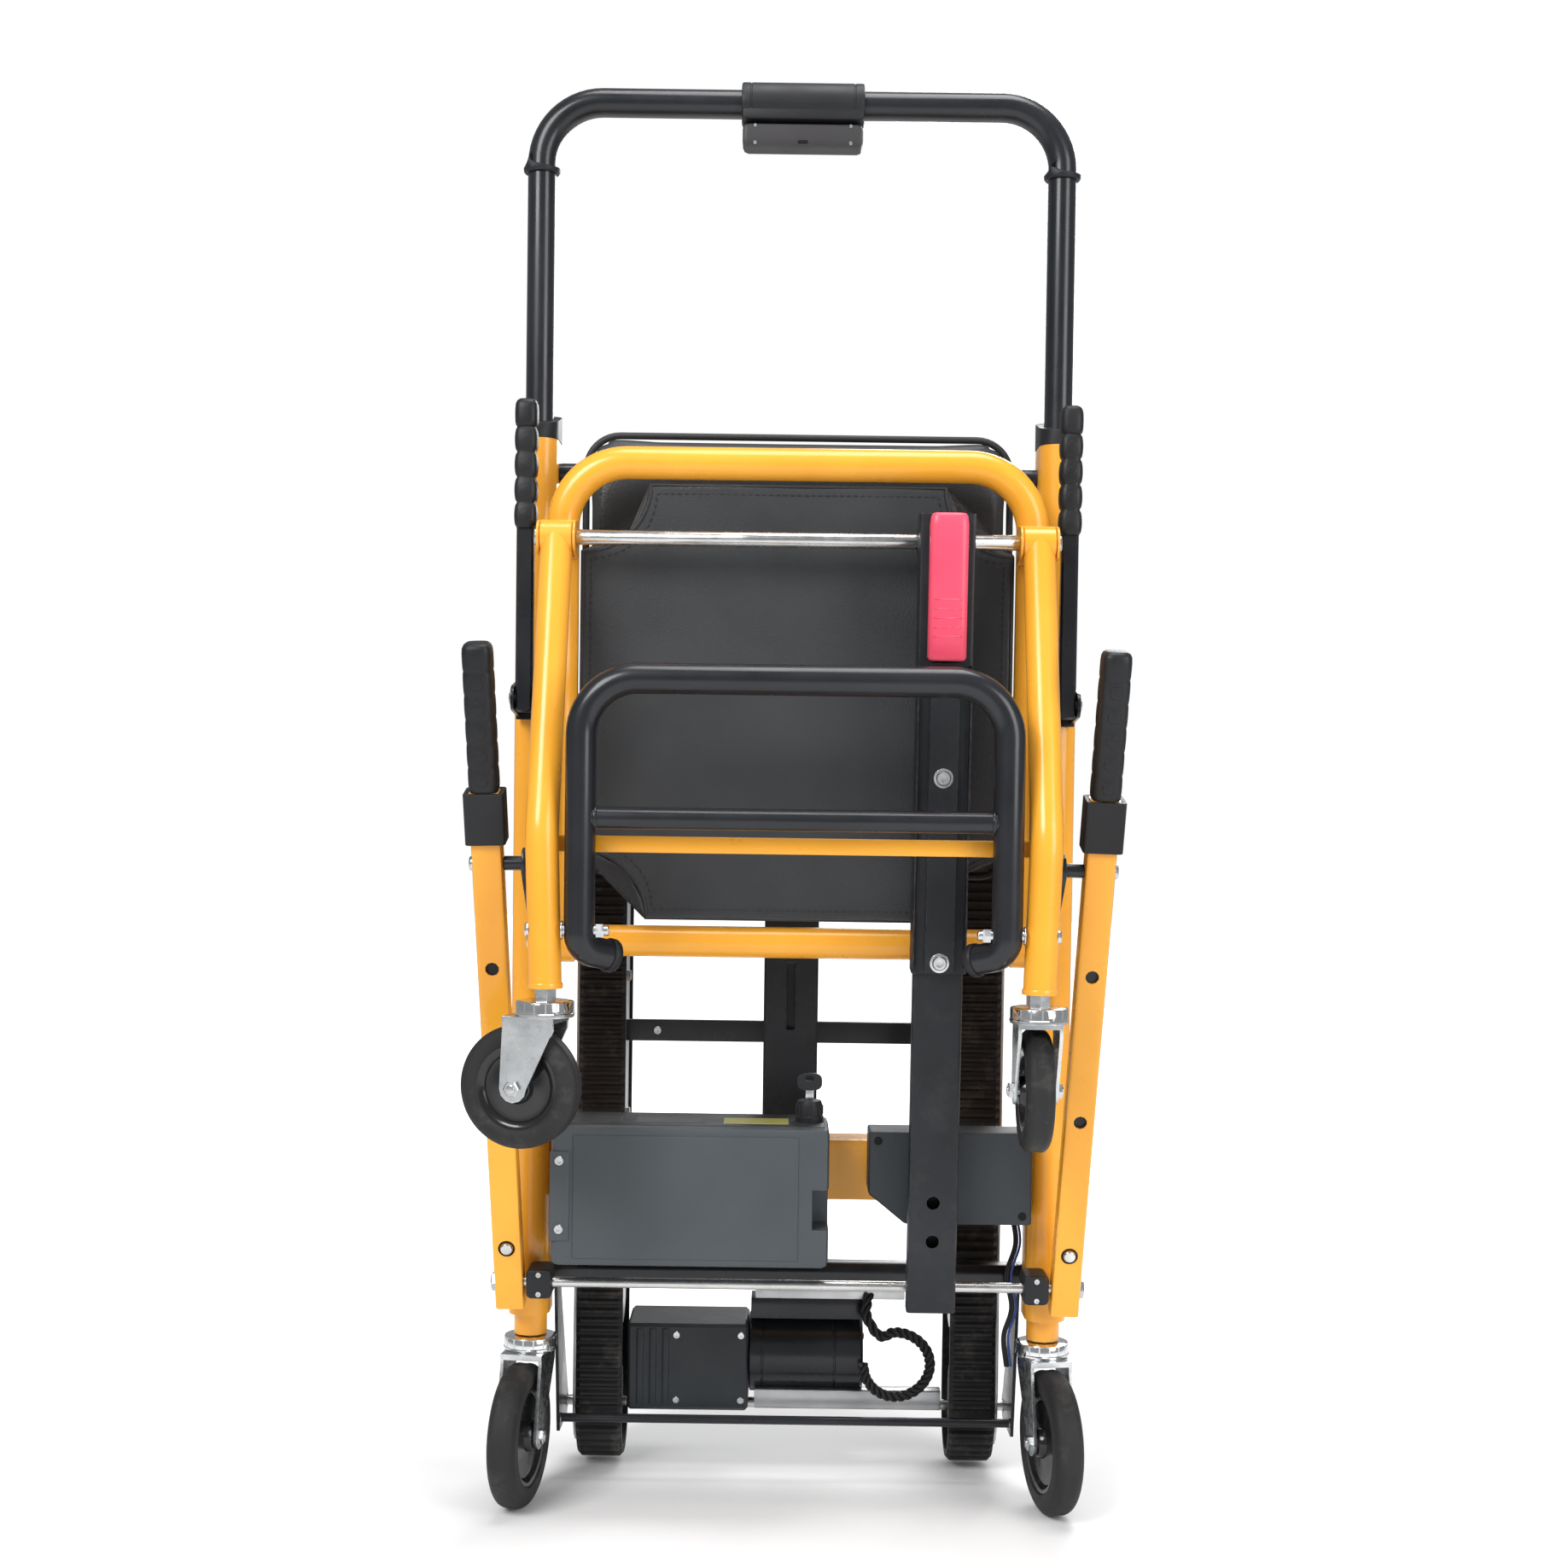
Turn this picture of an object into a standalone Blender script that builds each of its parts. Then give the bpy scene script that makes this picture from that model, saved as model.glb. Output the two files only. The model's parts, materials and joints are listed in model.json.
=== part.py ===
"""Electric tracked stair chair, folded flat for storage, with its push handle drawn out.

The front of the chair is -Y and the floor is z = 0. Left and right are as seen from the front.
Heights are above the floor, and depths are from the plane of the two uprights.
"""
import math

import bmesh
import bpy
from mathutils import Matrix, Quaternion, Vector

# Driving dimensions, in metres and degrees
BACK_Y = 0.037                      # plane of the uprights, behind the middle of the folded depth

UPRIGHT_X = 0.230
UPRIGHT_WIDTH = 0.036
UPRIGHT_DEPTH = 0.060
UPRIGHT_BOTTOM = 0.168
UPRIGHT_TOP = 0.942
UPRIGHT_BORE = 0.0138

HANDLE_RADIUS = 0.0125
HANDLE_TOP = 1.241
HANDLE_FOOT = 0.690
HANDLE_CORNER = 0.054
GRIP_RADIUS = 0.0165
GRIP_END = 1.178
HOUSING_HALF = 0.054

SEAT_PIVOT = (-0.070, 0.505)        # (depth, height) of hinge lines that run along X
LEG_HINGE = (-0.110, 0.8456)
LIFT_PIVOT = (-0.056, 0.205)
FOOTREST_PIVOT = (-0.205, 0.522)
ARMREST_PIVOT = (-0.072, 0.712)
DRIVE_AXIS = (0.105, 0.0555)

SEAT_X = 0.200
SEAT_TUBE = 0.014
SEAT_FRONT = 0.913
LEG_X = 0.202
LEG_TUBE = 0.0135
LEG_FOOT_X = 0.198
LEG_FOOT_Y = -0.200
LEG_FOOT_Z = 0.475
FOOTREST_X = 0.1708
FOOTREST_TOP = 0.7235
FOOTREST_RUNG = (0.612, 0.0090)       # height and radius
FOOTREST_ELBOW = 0.5135
FOOTREST_CORNER = 0.045
FOOTREST_TUBE = 0.0125
CROSS_TUBE = 0.0135

LIFT_X = 0.242
LIFT_LEAN = 14.0
LIFT_SPLAY = 1.5
LIFT_TUBE_END = 0.4405              # distances along the lift arm from its pivot
LIFT_COLLAR_START = 0.3975
LIFT_GRIP_START = 0.4415
LIFT_GRIP_LENGTH = 0.122
LIFT_GRIP_SIZE = (0.0210, 0.0220)     # width and depth
LIFT_GRIP_RIBS = 5
LIFT_GRIP_PITCH = 0.0195
LIFT_COLLAR_OUTSIDE = (0.0330, 0.0280)
LIFT_COLLAR_INSIDE = (0.0257, 0.0207)
BUTTON_HOLE = 0.0058                  # radius of a snap button's hole

BRACE_X = 0.123
BRACE_OFFSET = 0.023                # how far the brace stands in front of its two hinge rods
BRACE_TUBE_LENGTH = 0.335
BRACE_TUBE_SIZE = (0.0420, 0.0200)
BRACE_CHANNEL_SIZE = (0.0460, 0.0300)
BRACE_CHANNEL_INSIDE = (0.0428, 0.0264)

ARMREST_X = 0.2325
ARMREST_TOP = 0.967
ARMREST_BAR_TOP = 0.930
ARMREST_WIDTH = 0.0146
ARMREST_DEPTH = 0.0120

FRONT_WHEEL = 0.050
FRONT_TRAIL = 0.020
FRONT_NECK = 0.0218                 # from a caster's crown up to the tube that holds its stem
REAR_WHEEL = 0.0625
REAR_TRAIL = -0.032
REAR_NECK = 0.0138
CROWN_TOP = 0.0080                  # top of a caster's crown above its wheel
UPRIGHT_STUB_END = 2 * REAR_WHEEL + CROWN_TOP + REAR_NECK
FRONT_TURN = {-1: 75.0, 1: 0.0}     # how each front caster rests turned about its stem, in degrees
REAR_TURN = {-1: -10.0, 1: 10.0}

TRACK_X = 0.1730
TRACK_WIDTH = 0.0430
TRACK_RADIUS = 0.0510
TRACK_BAND = 0.0105
TRACK_TOP = 0.700

ROUND = 10                          # sides of a small round bar
FINE = 16                           # sides of a larger round

SIDES = ((-1, "left"), (1, "right"))

# Colour, roughness and metallic value of each finish
FINISHES = {
    "yellow_paint": ((0.90, 0.42, 0.04), 0.32, 0.0),
    "black_paint": ((0.018, 0.019, 0.022), 0.35, 0.0),
    "black_plastic": ((0.020, 0.021, 0.023), 0.50, 0.0),
    "black_foam": ((0.016, 0.017, 0.019), 0.70, 0.0),
    "grey_case": ((0.070, 0.080, 0.085), 0.45, 0.0),
    "red_plastic": ((0.72, 0.08, 0.12), 0.45, 0.0),
    "vinyl": ((0.035, 0.037, 0.040), 0.55, 0.0),
    "steel": ((0.62, 0.62, 0.61), 0.25, 1.0),
    "zinc": ((0.55, 0.56, 0.57), 0.32, 1.0),
    "aluminium": ((0.60, 0.61, 0.62), 0.40, 1.0),
    "rubber": ((0.020, 0.020, 0.021), 0.80, 0.0),
}


def clear_scene():
    for obj in list(bpy.data.objects):
        bpy.data.objects.remove(obj, do_unlink=True)


clear_scene()
PARTS = bpy.data.collections.new("stair_chair")
bpy.context.scene.collection.children.link(PARTS)


def at(x, y, z):
    """A point given by its depth from the uprights' plane."""
    return Vector((x, BACK_Y + y, z))


def finish_material(name):
    material = bpy.data.materials.new(name)
    material.use_nodes = True
    shader = material.node_tree.nodes["Principled BSDF"]
    colour, roughness, metallic = FINISHES[name]
    shader.inputs["Base Color"].default_value = (*colour, 1.0)
    shader.inputs["Roughness"].default_value = roughness
    shader.inputs["Metallic"].default_value = metallic
    return material


MATERIALS = {name: finish_material(name) for name in FINISHES}

# Each moving group hangs on an empty that stands on its joint's axis
BODY_AT = {
    "root": Vector((0, 0, 0)),
    "seat": at(0, *SEAT_PIVOT),
    "legs": at(0, *LEG_HINGE),
    "footrest": at(0, *FOOTREST_PIVOT),
    "lift_frame": at(0, *LIFT_PIVOT),
    "brace": at(0, *LEG_HINGE),
    "release": at(BRACE_X, *LEG_HINGE),
    "handle": at(0, 0, HANDLE_TOP),
    "rocker": at(0, 0.016, HANDLE_TOP - 0.028),
    "key": at(0.017, -0.062, 0.360),
    "tracks": at(0, *DRIVE_AXIS),
    "drive": at(0, *DRIVE_AXIS),
}
for side, label in SIDES:
    BODY_AT["armrest_" + label] = at(side * ARMREST_X, *ARMREST_PIVOT)
    BODY_AT["lift_grip_" + label] = at(side * LIFT_X, *LIFT_PIVOT)
    BODY_AT["front_fork_" + label] = at(side * LEG_FOOT_X, LEG_FOOT_Y, LEG_FOOT_Z)
    BODY_AT["rear_fork_" + label] = at(side * UPRIGHT_X, 0, UPRIGHT_STUB_END)


def turned_offset(turn, trail):
    """Where a caster's axle lies from its stem when the fork is turned about Z."""
    return Matrix.Rotation(math.radians(turn), 3, "Z") @ Vector((0, trail, 0))


for side, label in SIDES:
    front = at(side * LEG_FOOT_X, LEG_FOOT_Y, LEG_FOOT_Z - FRONT_NECK - CROWN_TOP - FRONT_WHEEL)
    BODY_AT["front_wheel_" + label] = front + turned_offset(FRONT_TURN[side], FRONT_TRAIL)
    rear = at(side * UPRIGHT_X, 0, REAR_WHEEL)
    BODY_AT["rear_wheel_" + label] = rear + turned_offset(REAR_TURN[side], REAR_TRAIL)

EMPTIES = {}
for body, point in BODY_AT.items():
    empty = bpy.data.objects.new("axis_" + body, None)
    empty.location = point
    PARTS.objects.link(empty)
    EMPTIES[body] = empty


# Modelling helpers. Every shape is modelled where it stands, and place() hangs it on its body.

def mesh_object(name, mesh):
    obj = bpy.data.objects.new(name, mesh)
    PARTS.objects.link(obj)
    return obj


def evaluated_mesh(obj):
    graph = bpy.context.evaluated_depsgraph_get()
    return bpy.data.meshes.new_from_object(obj.evaluated_get(graph))


def weld(mesh):
    work = bmesh.new()
    work.from_mesh(mesh)
    bmesh.ops.remove_doubles(work, verts=work.verts, dist=1e-6)
    bmesh.ops.recalc_face_normals(work, faces=work.faces)
    work.to_mesh(mesh)
    work.free()


def curve_to_mesh(curve):
    """Turn a curve datablock into a welded mesh object of the same name."""
    name = curve.name
    guide = bpy.data.objects.new(name, curve)
    PARTS.objects.link(guide)
    mesh = evaluated_mesh(guide)
    bpy.data.objects.remove(guide)
    bpy.data.curves.remove(curve)
    weld(mesh)
    return mesh_object(name, mesh)


def rounded_path(points, corner, steps=4):
    """The points of a bent line, with every inner corner turned into an arc."""
    path = [Vector(points[0])]
    for before, here, after in zip(points, points[1:], points[2:]):
        back = (Vector(before) - Vector(here)).normalized()
        ahead = (Vector(after) - Vector(here)).normalized()
        half = back.angle(ahead) / 2
        centre = Vector(here) + (back + ahead).normalized() * corner / math.sin(half)
        start = Vector(here) + back * corner / math.tan(half) - centre
        axis = back.cross(ahead)
        sweep = math.pi - 2 * half
        for step in range(steps + 1):
            path.append(centre + Quaternion(axis, -sweep * step / steps) @ start)
    path.append(Vector(points[-1]))
    return path


def tube(name, path, radius, sides=12):
    """A round bar along a path."""
    curve = bpy.data.curves.new(name, "CURVE")
    curve.dimensions = "3D"
    curve.bevel_depth = radius
    curve.bevel_resolution = (sides - 4) // 2
    curve.use_fill_caps = True
    spline = curve.splines.new("POLY")
    spline.points.add(len(path) - 1)
    for point, place_at in zip(spline.points, path):
        point.co = (*place_at, 1.0)
    return curve_to_mesh(curve)


def plate(name, outlines, thickness, matrix):
    """A flat outline with holes, half its thickness to each side of the matrix's XY plane."""
    curve = bpy.data.curves.new(name, "CURVE")
    curve.dimensions = "2D"
    curve.fill_mode = "BOTH"
    curve.extrude = thickness / 2
    for outline in outlines:
        spline = curve.splines.new("POLY")
        spline.points.add(len(outline) - 1)
        for point, (x, y) in zip(spline.points, outline):
            point.co = (x, y, 0, 1)
        spline.use_cyclic_u = True
    obj = curve_to_mesh(curve)
    obj.data.transform(matrix)
    return obj


def side_plane(x):
    """Puts an outline of (depth, height) in the vertical plane at x."""
    return Matrix(((0, 0, 1, x), (1, 0, 0, BACK_Y), (0, 1, 0, 0), (0, 0, 0, 1)))


def front_plane(depth):
    """Puts an outline of (x, height) in the vertical plane at a depth."""
    return Matrix(((1, 0, 0, 0), (0, 0, -1, BACK_Y + depth), (0, 1, 0, 0), (0, 0, 0, 1)))


def level_plane(x, y, z):
    return Matrix.Translation(at(x, y, z))


def arc(centre, radius, start, end, steps):
    """Points of an arc in degrees, both ends included."""
    points = []
    for step in range(steps + 1):
        angle = math.radians(start + (end - start) * step / steps)
        points.append((centre[0] + radius * math.cos(angle), centre[1] + radius * math.sin(angle)))
    return points


def circle(radius, sides, centre=(0, 0)):
    return arc(centre, radius, 0, 360 - 360 / sides, sides - 1)


def rounded_rectangle(width, depth, corner, steps=3):
    x, y = width / 2 - corner, depth / 2 - corner
    return (arc((x, y), corner, 0, 90, steps) + arc((-x, y), corner, 90, 180, steps)
            + arc((-x, -y), corner, 180, 270, steps) + arc((x, -y), corner, 270, 360, steps))


def box(name, low, high, bevel=0.0, segments=2):
    """A box between two corners, its edges rounded by a bevel."""
    low, high = Vector(low), Vector(high)
    work = bmesh.new()
    bmesh.ops.create_cube(work, size=1.0)
    bmesh.ops.scale(work, vec=high - low, verts=work.verts)
    bmesh.ops.translate(work, vec=(low + high) / 2, verts=work.verts)
    mesh = bpy.data.meshes.new(name)
    work.to_mesh(mesh)
    work.free()
    obj = mesh_object(name, mesh)
    if bevel:
        rounding = obj.modifiers.new("rounding", "BEVEL")
        rounding.width = bevel
        rounding.segments = segments
        bake(obj)
    return obj


def bake(obj):
    """Replace an object's mesh with the one its modifiers make."""
    mesh = evaluated_mesh(obj)
    obj.modifiers.clear()
    obj.data = mesh
    return obj


def bar(name, start, end, radius, sides=ROUND):
    """A straight cylinder from one point to another."""
    start, end = Vector(start), Vector(end)
    work = bmesh.new()
    bmesh.ops.create_cone(work, cap_ends=True, segments=sides, radius1=radius, radius2=radius,
                          depth=(end - start).length)
    turn = (end - start).to_track_quat("Z", "Y").to_matrix().to_4x4()
    bmesh.ops.transform(work, matrix=Matrix.Translation((start + end) / 2) @ turn, verts=work.verts)
    mesh = bpy.data.meshes.new(name)
    work.to_mesh(mesh)
    work.free()
    return mesh_object(name, mesh)


def cross_bar(name, x_start, x_end, pivot, radius, sides=ROUND):
    """A cylinder along X at a (depth, height) place."""
    return bar(name, at(x_start, *pivot), at(x_end, *pivot), radius, sides)


def turned(name, profile, centre, steps=FINE, closed=False):
    """A turned piece about an X axis: the profile's points are (radius, distance along X)."""
    mesh = bpy.data.meshes.new(name)
    edges = [(index, index + 1) for index in range(len(profile) - 1)]
    if closed:
        edges.append((len(profile) - 1, 0))
    mesh.from_pydata([(radius, 0, -along) for radius, along in profile], edges, [])
    obj = mesh_object(name, mesh)
    screw = obj.modifiers.new("turning", "SCREW")
    screw.steps = steps
    screw.render_steps = steps
    screw.use_merge_vertices = True
    screw.merge_threshold = 1e-5
    bake(obj)
    obj.data.transform(Matrix.Translation(centre) @ Matrix.Rotation(math.radians(90), 4, "Y"))
    weld(obj.data)
    return obj


def loft(name, sections, matrix):
    """A solid through flat sections, each an outline and its height, all with as many points."""
    work = bmesh.new()
    rings = []
    for outline, height in sections:
        rings.append([work.verts.new((x, y, height)) for x, y in outline])
    for lower, upper in zip(rings, rings[1:]):
        for index in range(len(lower)):
            after = (index + 1) % len(lower)
            work.faces.new((lower[index], lower[after], upper[after], upper[index]))
    work.faces.new(reversed(rings[0]))
    work.faces.new(rings[-1])
    mesh = bpy.data.meshes.new(name)
    work.to_mesh(mesh)
    work.free()
    mesh.transform(matrix)
    return mesh_object(name, mesh)


def combine(base, tools, operation):
    """Join the tools to the base, or cut them out of it, and remove them."""
    for tool in tools:
        step = base.modifiers.new(operation.lower(), "BOOLEAN")
        step.operation = operation
        step.solver = "EXACT"
        step.object = tool
    bake(base)
    for tool in tools:
        bpy.data.objects.remove(tool)
    return base


def join(base, *tools):
    return combine(base, tools, "UNION")


def cut(base, *tools):
    return combine(base, tools, "DIFFERENCE")


def place(obj, name, finish, body="root"):
    """Name a finished piece, give it its finish and hang it on its body."""
    obj.name = name
    obj.data.name = name
    obj.data.materials.clear()
    obj.data.materials.append(MATERIALS[finish])
    obj.data.transform(Matrix.Translation(-BODY_AT[body]))
    obj.data.shade_smooth()
    obj.data.set_sharp_from_angle(angle=math.radians(35))
    obj.parent = EMPTIES[body]
    return obj


# Back frame

def build_uprights():
    middle = (UPRIGHT_BOTTOM + UPRIGHT_TOP) / 2
    for side, label in SIDES:
        x = side * UPRIGHT_X
        profile = [rounded_rectangle(UPRIGHT_WIDTH, UPRIGHT_DEPTH, 0.0165, 4), circle(UPRIGHT_BORE, ROUND)]
        upright = plate("upright", profile, UPRIGHT_TOP - UPRIGHT_BOTTOM, level_plane(x, 0, middle))
        stub = bar("stub", at(x, 0, UPRIGHT_STUB_END), at(x, 0, UPRIGHT_BOTTOM + 0.030), 0.0150)
        upright = join(upright, stub)
        socket = bar("socket", at(x, 0, UPRIGHT_STUB_END - 0.01), at(x, 0, 0.184), 0.0078)
        place(cut(upright, socket), "upright_" + label, "yellow_paint")


def build_handle_collars():
    bottom, height = UPRIGHT_TOP + 0.0003, 0.020
    for side, label in SIDES:
        profile = [rounded_rectangle(0.037, 0.061, 0.017, 4), circle(UPRIGHT_BORE, ROUND)]
        collar = plate("collar", profile, height, level_plane(side * UPRIGHT_X, 0, bottom + height / 2))
        for vertex in collar.data.vertices:
            if vertex.co.z > bottom + height / 2:
                vertex.co.z += 0.008 * (vertex.co.y - BACK_Y) / 0.030
        place(collar, "handle_collar_" + label, "black_plastic")


def build_cross_members():
    tube_end = UPRIGHT_X - UPRIGHT_WIDTH / 2 - 0.0003
    seat_tube = cross_bar("seat_tube", -0.2192, 0.2192, SEAT_PIVOT, CROSS_TUBE, FINE)
    place(seat_tube, "seat_cross_tube", "yellow_paint")
    beam = box("beam", at(-tube_end, -0.0200, 0.273), at(tube_end, 0.0200, 0.327), 0.003)
    place(beam, "lower_beam", "yellow_paint")
    top = cross_bar("top", -tube_end, tube_end, (0.002, 0.915), 0.009)
    place(top, "backrest_bar", "black_paint")


def build_side_plates():
    """Curved gussets that hold the seat tube and reach forward to the lift arms."""
    outline = [(-0.0305, 0.452)]
    outline += arc((-0.134, 0.455), 0.0780, 0, 78, 6)
    outline += arc((-0.1478, 0.573), 0.0130, 250, 50, 5)
    outline += arc((-0.125, 0.672), 0.0900, -85, -12, 6)
    outline += [(-0.0305, 0.653)]
    for side, label in SIDES:
        gusset = plate("gusset", [outline], 0.0040, side_plane(side * 0.2215))
        reach = side * 0.2388
        peg = cross_bar("peg", side * 0.2215, reach, (-0.1478, 0.573), 0.0060)
        place(join(gusset, peg), "side_plate_" + label, "black_paint")


def build_rod_blocks():
    for side, label in SIDES:
        low, high = sorted((side * 0.2050, side * 0.2270))
        block = box("block", at(low, -0.0680, 0.192), at(high, -0.0303, 0.218), 0.004)
        bore = cross_bar("bore", low - 0.01, high + 0.01, LIFT_PIVOT, 0.0061, FINE)
        place(cut(block, bore), "rod_block_" + label, "black_plastic")


def build_battery():
    low, high = at(-0.203, -0.100, 0.2285), at(0.034, -0.0205, 0.3490)
    case = box("case", low, high, 0.006, 2)
    slot = box("notch", at(0.020, -0.110, 0.262), at(0.040, -0.060, 0.296))
    place(cut(case, slot), "battery_box", "grey_case")


def build_controller():
    """A flat box whose lower left corner is cut away."""
    left, right, bottom, top = 0.069, 0.2110, 0.2610, 0.3414
    outline = [(left, top), (left, bottom + 0.026), (left + 0.032, bottom), (right, bottom), (right, top)]
    front, back = -0.062, -0.0203
    case = plate("controller", [outline], back - front, front_plane((front + back) / 2))
    rounding = case.modifiers.new("rounding", "BEVEL")
    rounding.width = 0.0015
    rounding.segments = 1
    place(bake(case), "controller_box", "black_paint")


def build_key_switch():
    centre = (0.017, -0.062)
    knob = bar("knob", at(*centre, 0.3494), at(*centre, 0.3690), 0.0125, FINE)
    blade = box("blade", at(0.006, -0.0632, 0.366), at(0.028, -0.0608, 0.392), 0.001, 1)
    place(join(knob, blade), "key_switch", "black_plastic", "key")


def build_backrest():
    pad = box("pad", at(-0.188, -0.036, 0.560), at(0.188, -0.014, 0.947), 0.008)
    place(pad, "backrest_sling", "vinyl")


def build_lock_column():
    column = box("column", at(-0.0245, 0.0215, 0.3320), at(0.0245, 0.0480, 0.640), 0.002, 1)
    slot = box("slot", at(-0.004, 0.010, 0.420), at(0.004, 0.030, 0.480))
    place(cut(column, slot), "track_lock_column", "black_paint")


# Push handle

def handle_half(side, foot, end):
    """One side of the handle's line, from its foot up and across to the end."""
    line = [at(side * UPRIGHT_X, 0, foot), at(side * UPRIGHT_X, 0, HANDLE_TOP), at(end, 0, HANDLE_TOP)]
    return rounded_path(line, HANDLE_CORNER)


def build_push_handle():
    left = handle_half(-1, HANDLE_FOOT, 0)
    right = handle_half(1, HANDLE_FOOT, 0)
    handle = tube("handle", left[:-1] + right[-2::-1], HANDLE_RADIUS, ROUND)
    place(handle, "handle_tube", "black_paint", "handle")
    clearance, overrun = 0.0008, 0.02
    for side, label in SIDES:
        cover = handle_half(side, GRIP_END, side * (HOUSING_HALF + 0.0004))
        hollow = handle_half(side, GRIP_END - overrun, side * (HOUSING_HALF - overrun))
        grip = tube("grip", cover, GRIP_RADIUS, ROUND)
        core = tube("core", hollow, HANDLE_RADIUS + clearance, ROUND)
        place(cut(grip, core), "handle_grip_" + label, "black_foam", "handle")


def build_control_housing():
    centre = (0.0, HANDLE_TOP)
    barrel = cross_bar("barrel", -HOUSING_HALF, HOUSING_HALF, centre, 0.0190, FINE)
    lower = box("lower", at(-HOUSING_HALF, -0.017, HANDLE_TOP - 0.0170),
                at(HOUSING_HALF, 0.017, HANDLE_TOP - 0.004))
    bore = cross_bar("bore", -0.08, 0.08, centre, HANDLE_RADIUS + 0.0006, FINE)
    place(cut(join(barrel, lower), bore), "control_housing", "black_plastic", "handle")
    plate_box = box("plate", at(-0.0530, -0.0150, HANDLE_TOP - 0.0400),
                    at(0.0530, 0.0150, HANDLE_TOP - 0.0193), 0.005)
    pocket = box("pocket", at(-0.0135, 0.0080, HANDLE_TOP - 0.0350),
                 at(0.0135, 0.0200, HANDLE_TOP - 0.0210))
    place(cut(plate_box, pocket), "control_plate", "grey_case", "handle")
    rocker = box("rocker", at(-0.0125, 0.0095, HANDLE_TOP - 0.0340),
                 at(0.0125, 0.0175, HANDLE_TOP - 0.0220), 0.0015, 1)
    place(rocker, "control_rocker", "red_plastic", "rocker")


# Armrests

def build_armrest_bracket(x):
    """Two ears on a web, with the pin that the armrest turns on."""
    y, z = ARMREST_PIVOT
    half = ARMREST_WIDTH / 2
    web = half + 0.0042
    bracket = box("web", at(x - web, -0.0370, z - 0.017), at(x + web, -0.0303, z + 0.021))
    outline = arc((y, z), 0.0110, 100, 260, 6) + [(-0.0330, z - 0.015), (-0.0330, z + 0.018)]
    thickness = 0.0030
    ears = [plate("ear", [outline], thickness, side_plane(x + edge * (half + 0.0023))) for edge in (-1, 1)]
    pin_end = half + 0.0038
    pin = cross_bar("pin", x - pin_end, x + pin_end, ARMREST_PIVOT, 0.0040)
    return join(bracket, *ears, pin)


def build_armrest_grip(x):
    """A grip with five ribs and a small head, hollow for the armrest bar."""
    start, pitch, core = 0.857, 0.0210, (0.0170, 0.0190)
    sections = []
    for rib in range(5):
        for rise, grow in ((0.0, 0.0), (0.0040, 0.0015), (0.0160, 0.0015)):
            outline = rounded_rectangle(core[0] + 2 * grow, core[1] + 2 * grow, 0.004, 1)
            sections.append((outline, start + rib * pitch + rise))
    sections.append((rounded_rectangle(0.0140, 0.0160, 0.004, 1), ARMREST_TOP))
    depth = ARMREST_PIVOT[0]
    grip = loft("grip", sections, Matrix.Translation(at(x, depth, 0)))
    side, front = ARMREST_WIDTH / 2 + 0.0003, ARMREST_DEPTH / 2 + 0.0003
    hole = box("hole", at(x - side, depth - front, start - 0.02),
               at(x + side, depth + front, ARMREST_BAR_TOP + 0.0005))
    return cut(grip, hole)


def build_armrests():
    y, z = ARMREST_PIVOT
    side_half, front_half = ARMREST_WIDTH / 2, ARMREST_DEPTH / 2
    for side, label in SIDES:
        x = side * ARMREST_X
        place(build_armrest_bracket(x), "armrest_bracket_" + label, "black_paint")
        arm = box("arm", at(x - side_half, y - front_half, z - 0.012),
                  at(x + side_half, y + front_half, ARMREST_BAR_TOP), 0.002, 1)
        eye = cross_bar("eye", x - 0.02, x + 0.02, ARMREST_PIVOT, 0.0047)
        place(cut(arm, eye), "armrest_bar_" + label, "black_paint", "armrest_" + label)
        place(build_armrest_grip(x), "armrest_grip_" + label, "rubber", "armrest_" + label)


# Seat, legs and footrest

def build_seat_frame():
    foot = at(-SEAT_X, SEAT_PIVOT[0] - 0.0015, SEAT_PIVOT[1] + 0.006)
    top = at(-SEAT_X, -0.080, SEAT_FRONT)
    flip = Matrix.Scale(-1, 4, (1, 0, 0))
    frame = tube("seat", rounded_path([foot, top, flip @ top, flip @ foot], 0.055, 6), SEAT_TUBE)
    pieces, cutters = [], []
    for side, label in SIDES:
        low, high = sorted((side * 0.187, side * 0.213))
        pieces.append(cross_bar("eye", low, high, SEAT_PIVOT, 0.0195, FINE))
        cutters.append(cross_bar("eye_bore", side * 0.17, side * 0.23, SEAT_PIVOT,
                                 CROSS_TUBE + 0.0007, FINE))
        low, high = sorted((side * 0.1857, side * 0.2182))
        pieces.append(box("web", at(low, -0.0958, 0.829), at(high, -0.0845, 0.862)))
        for inner, outer in ((0.1857, 0.1879), (0.2160, 0.2182)):
            outline = arc(LEG_HINGE, 0.0140, 110, 250, 6) + [(-0.0880, 0.829), (-0.0880, 0.862)]
            middle = side * (inner + outer) / 2
            pieces.append(plate("ear", [outline], outer - inner, side_plane(middle)))
        cutters.append(cross_bar("pin_bore", side * 0.17, side * 0.23, LEG_HINGE, 0.0046))
    place(cut(join(frame, *pieces), *cutters), "seat_frame", "yellow_paint", "seat")


def build_seat_rod():
    half = [(0.0, 0.2210), (0.0075, 0.2210), (0.0075, 0.2185), (0.0040, 0.2185),
            (0.0040, 0.1854), (0.0065, 0.1854)]
    profile = half + [(radius, -along) for radius, along in reversed(half)]
    place(turned("rod", profile, at(0, *LEG_HINGE), ROUND), "seat_rod", "steel", "seat")


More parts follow.
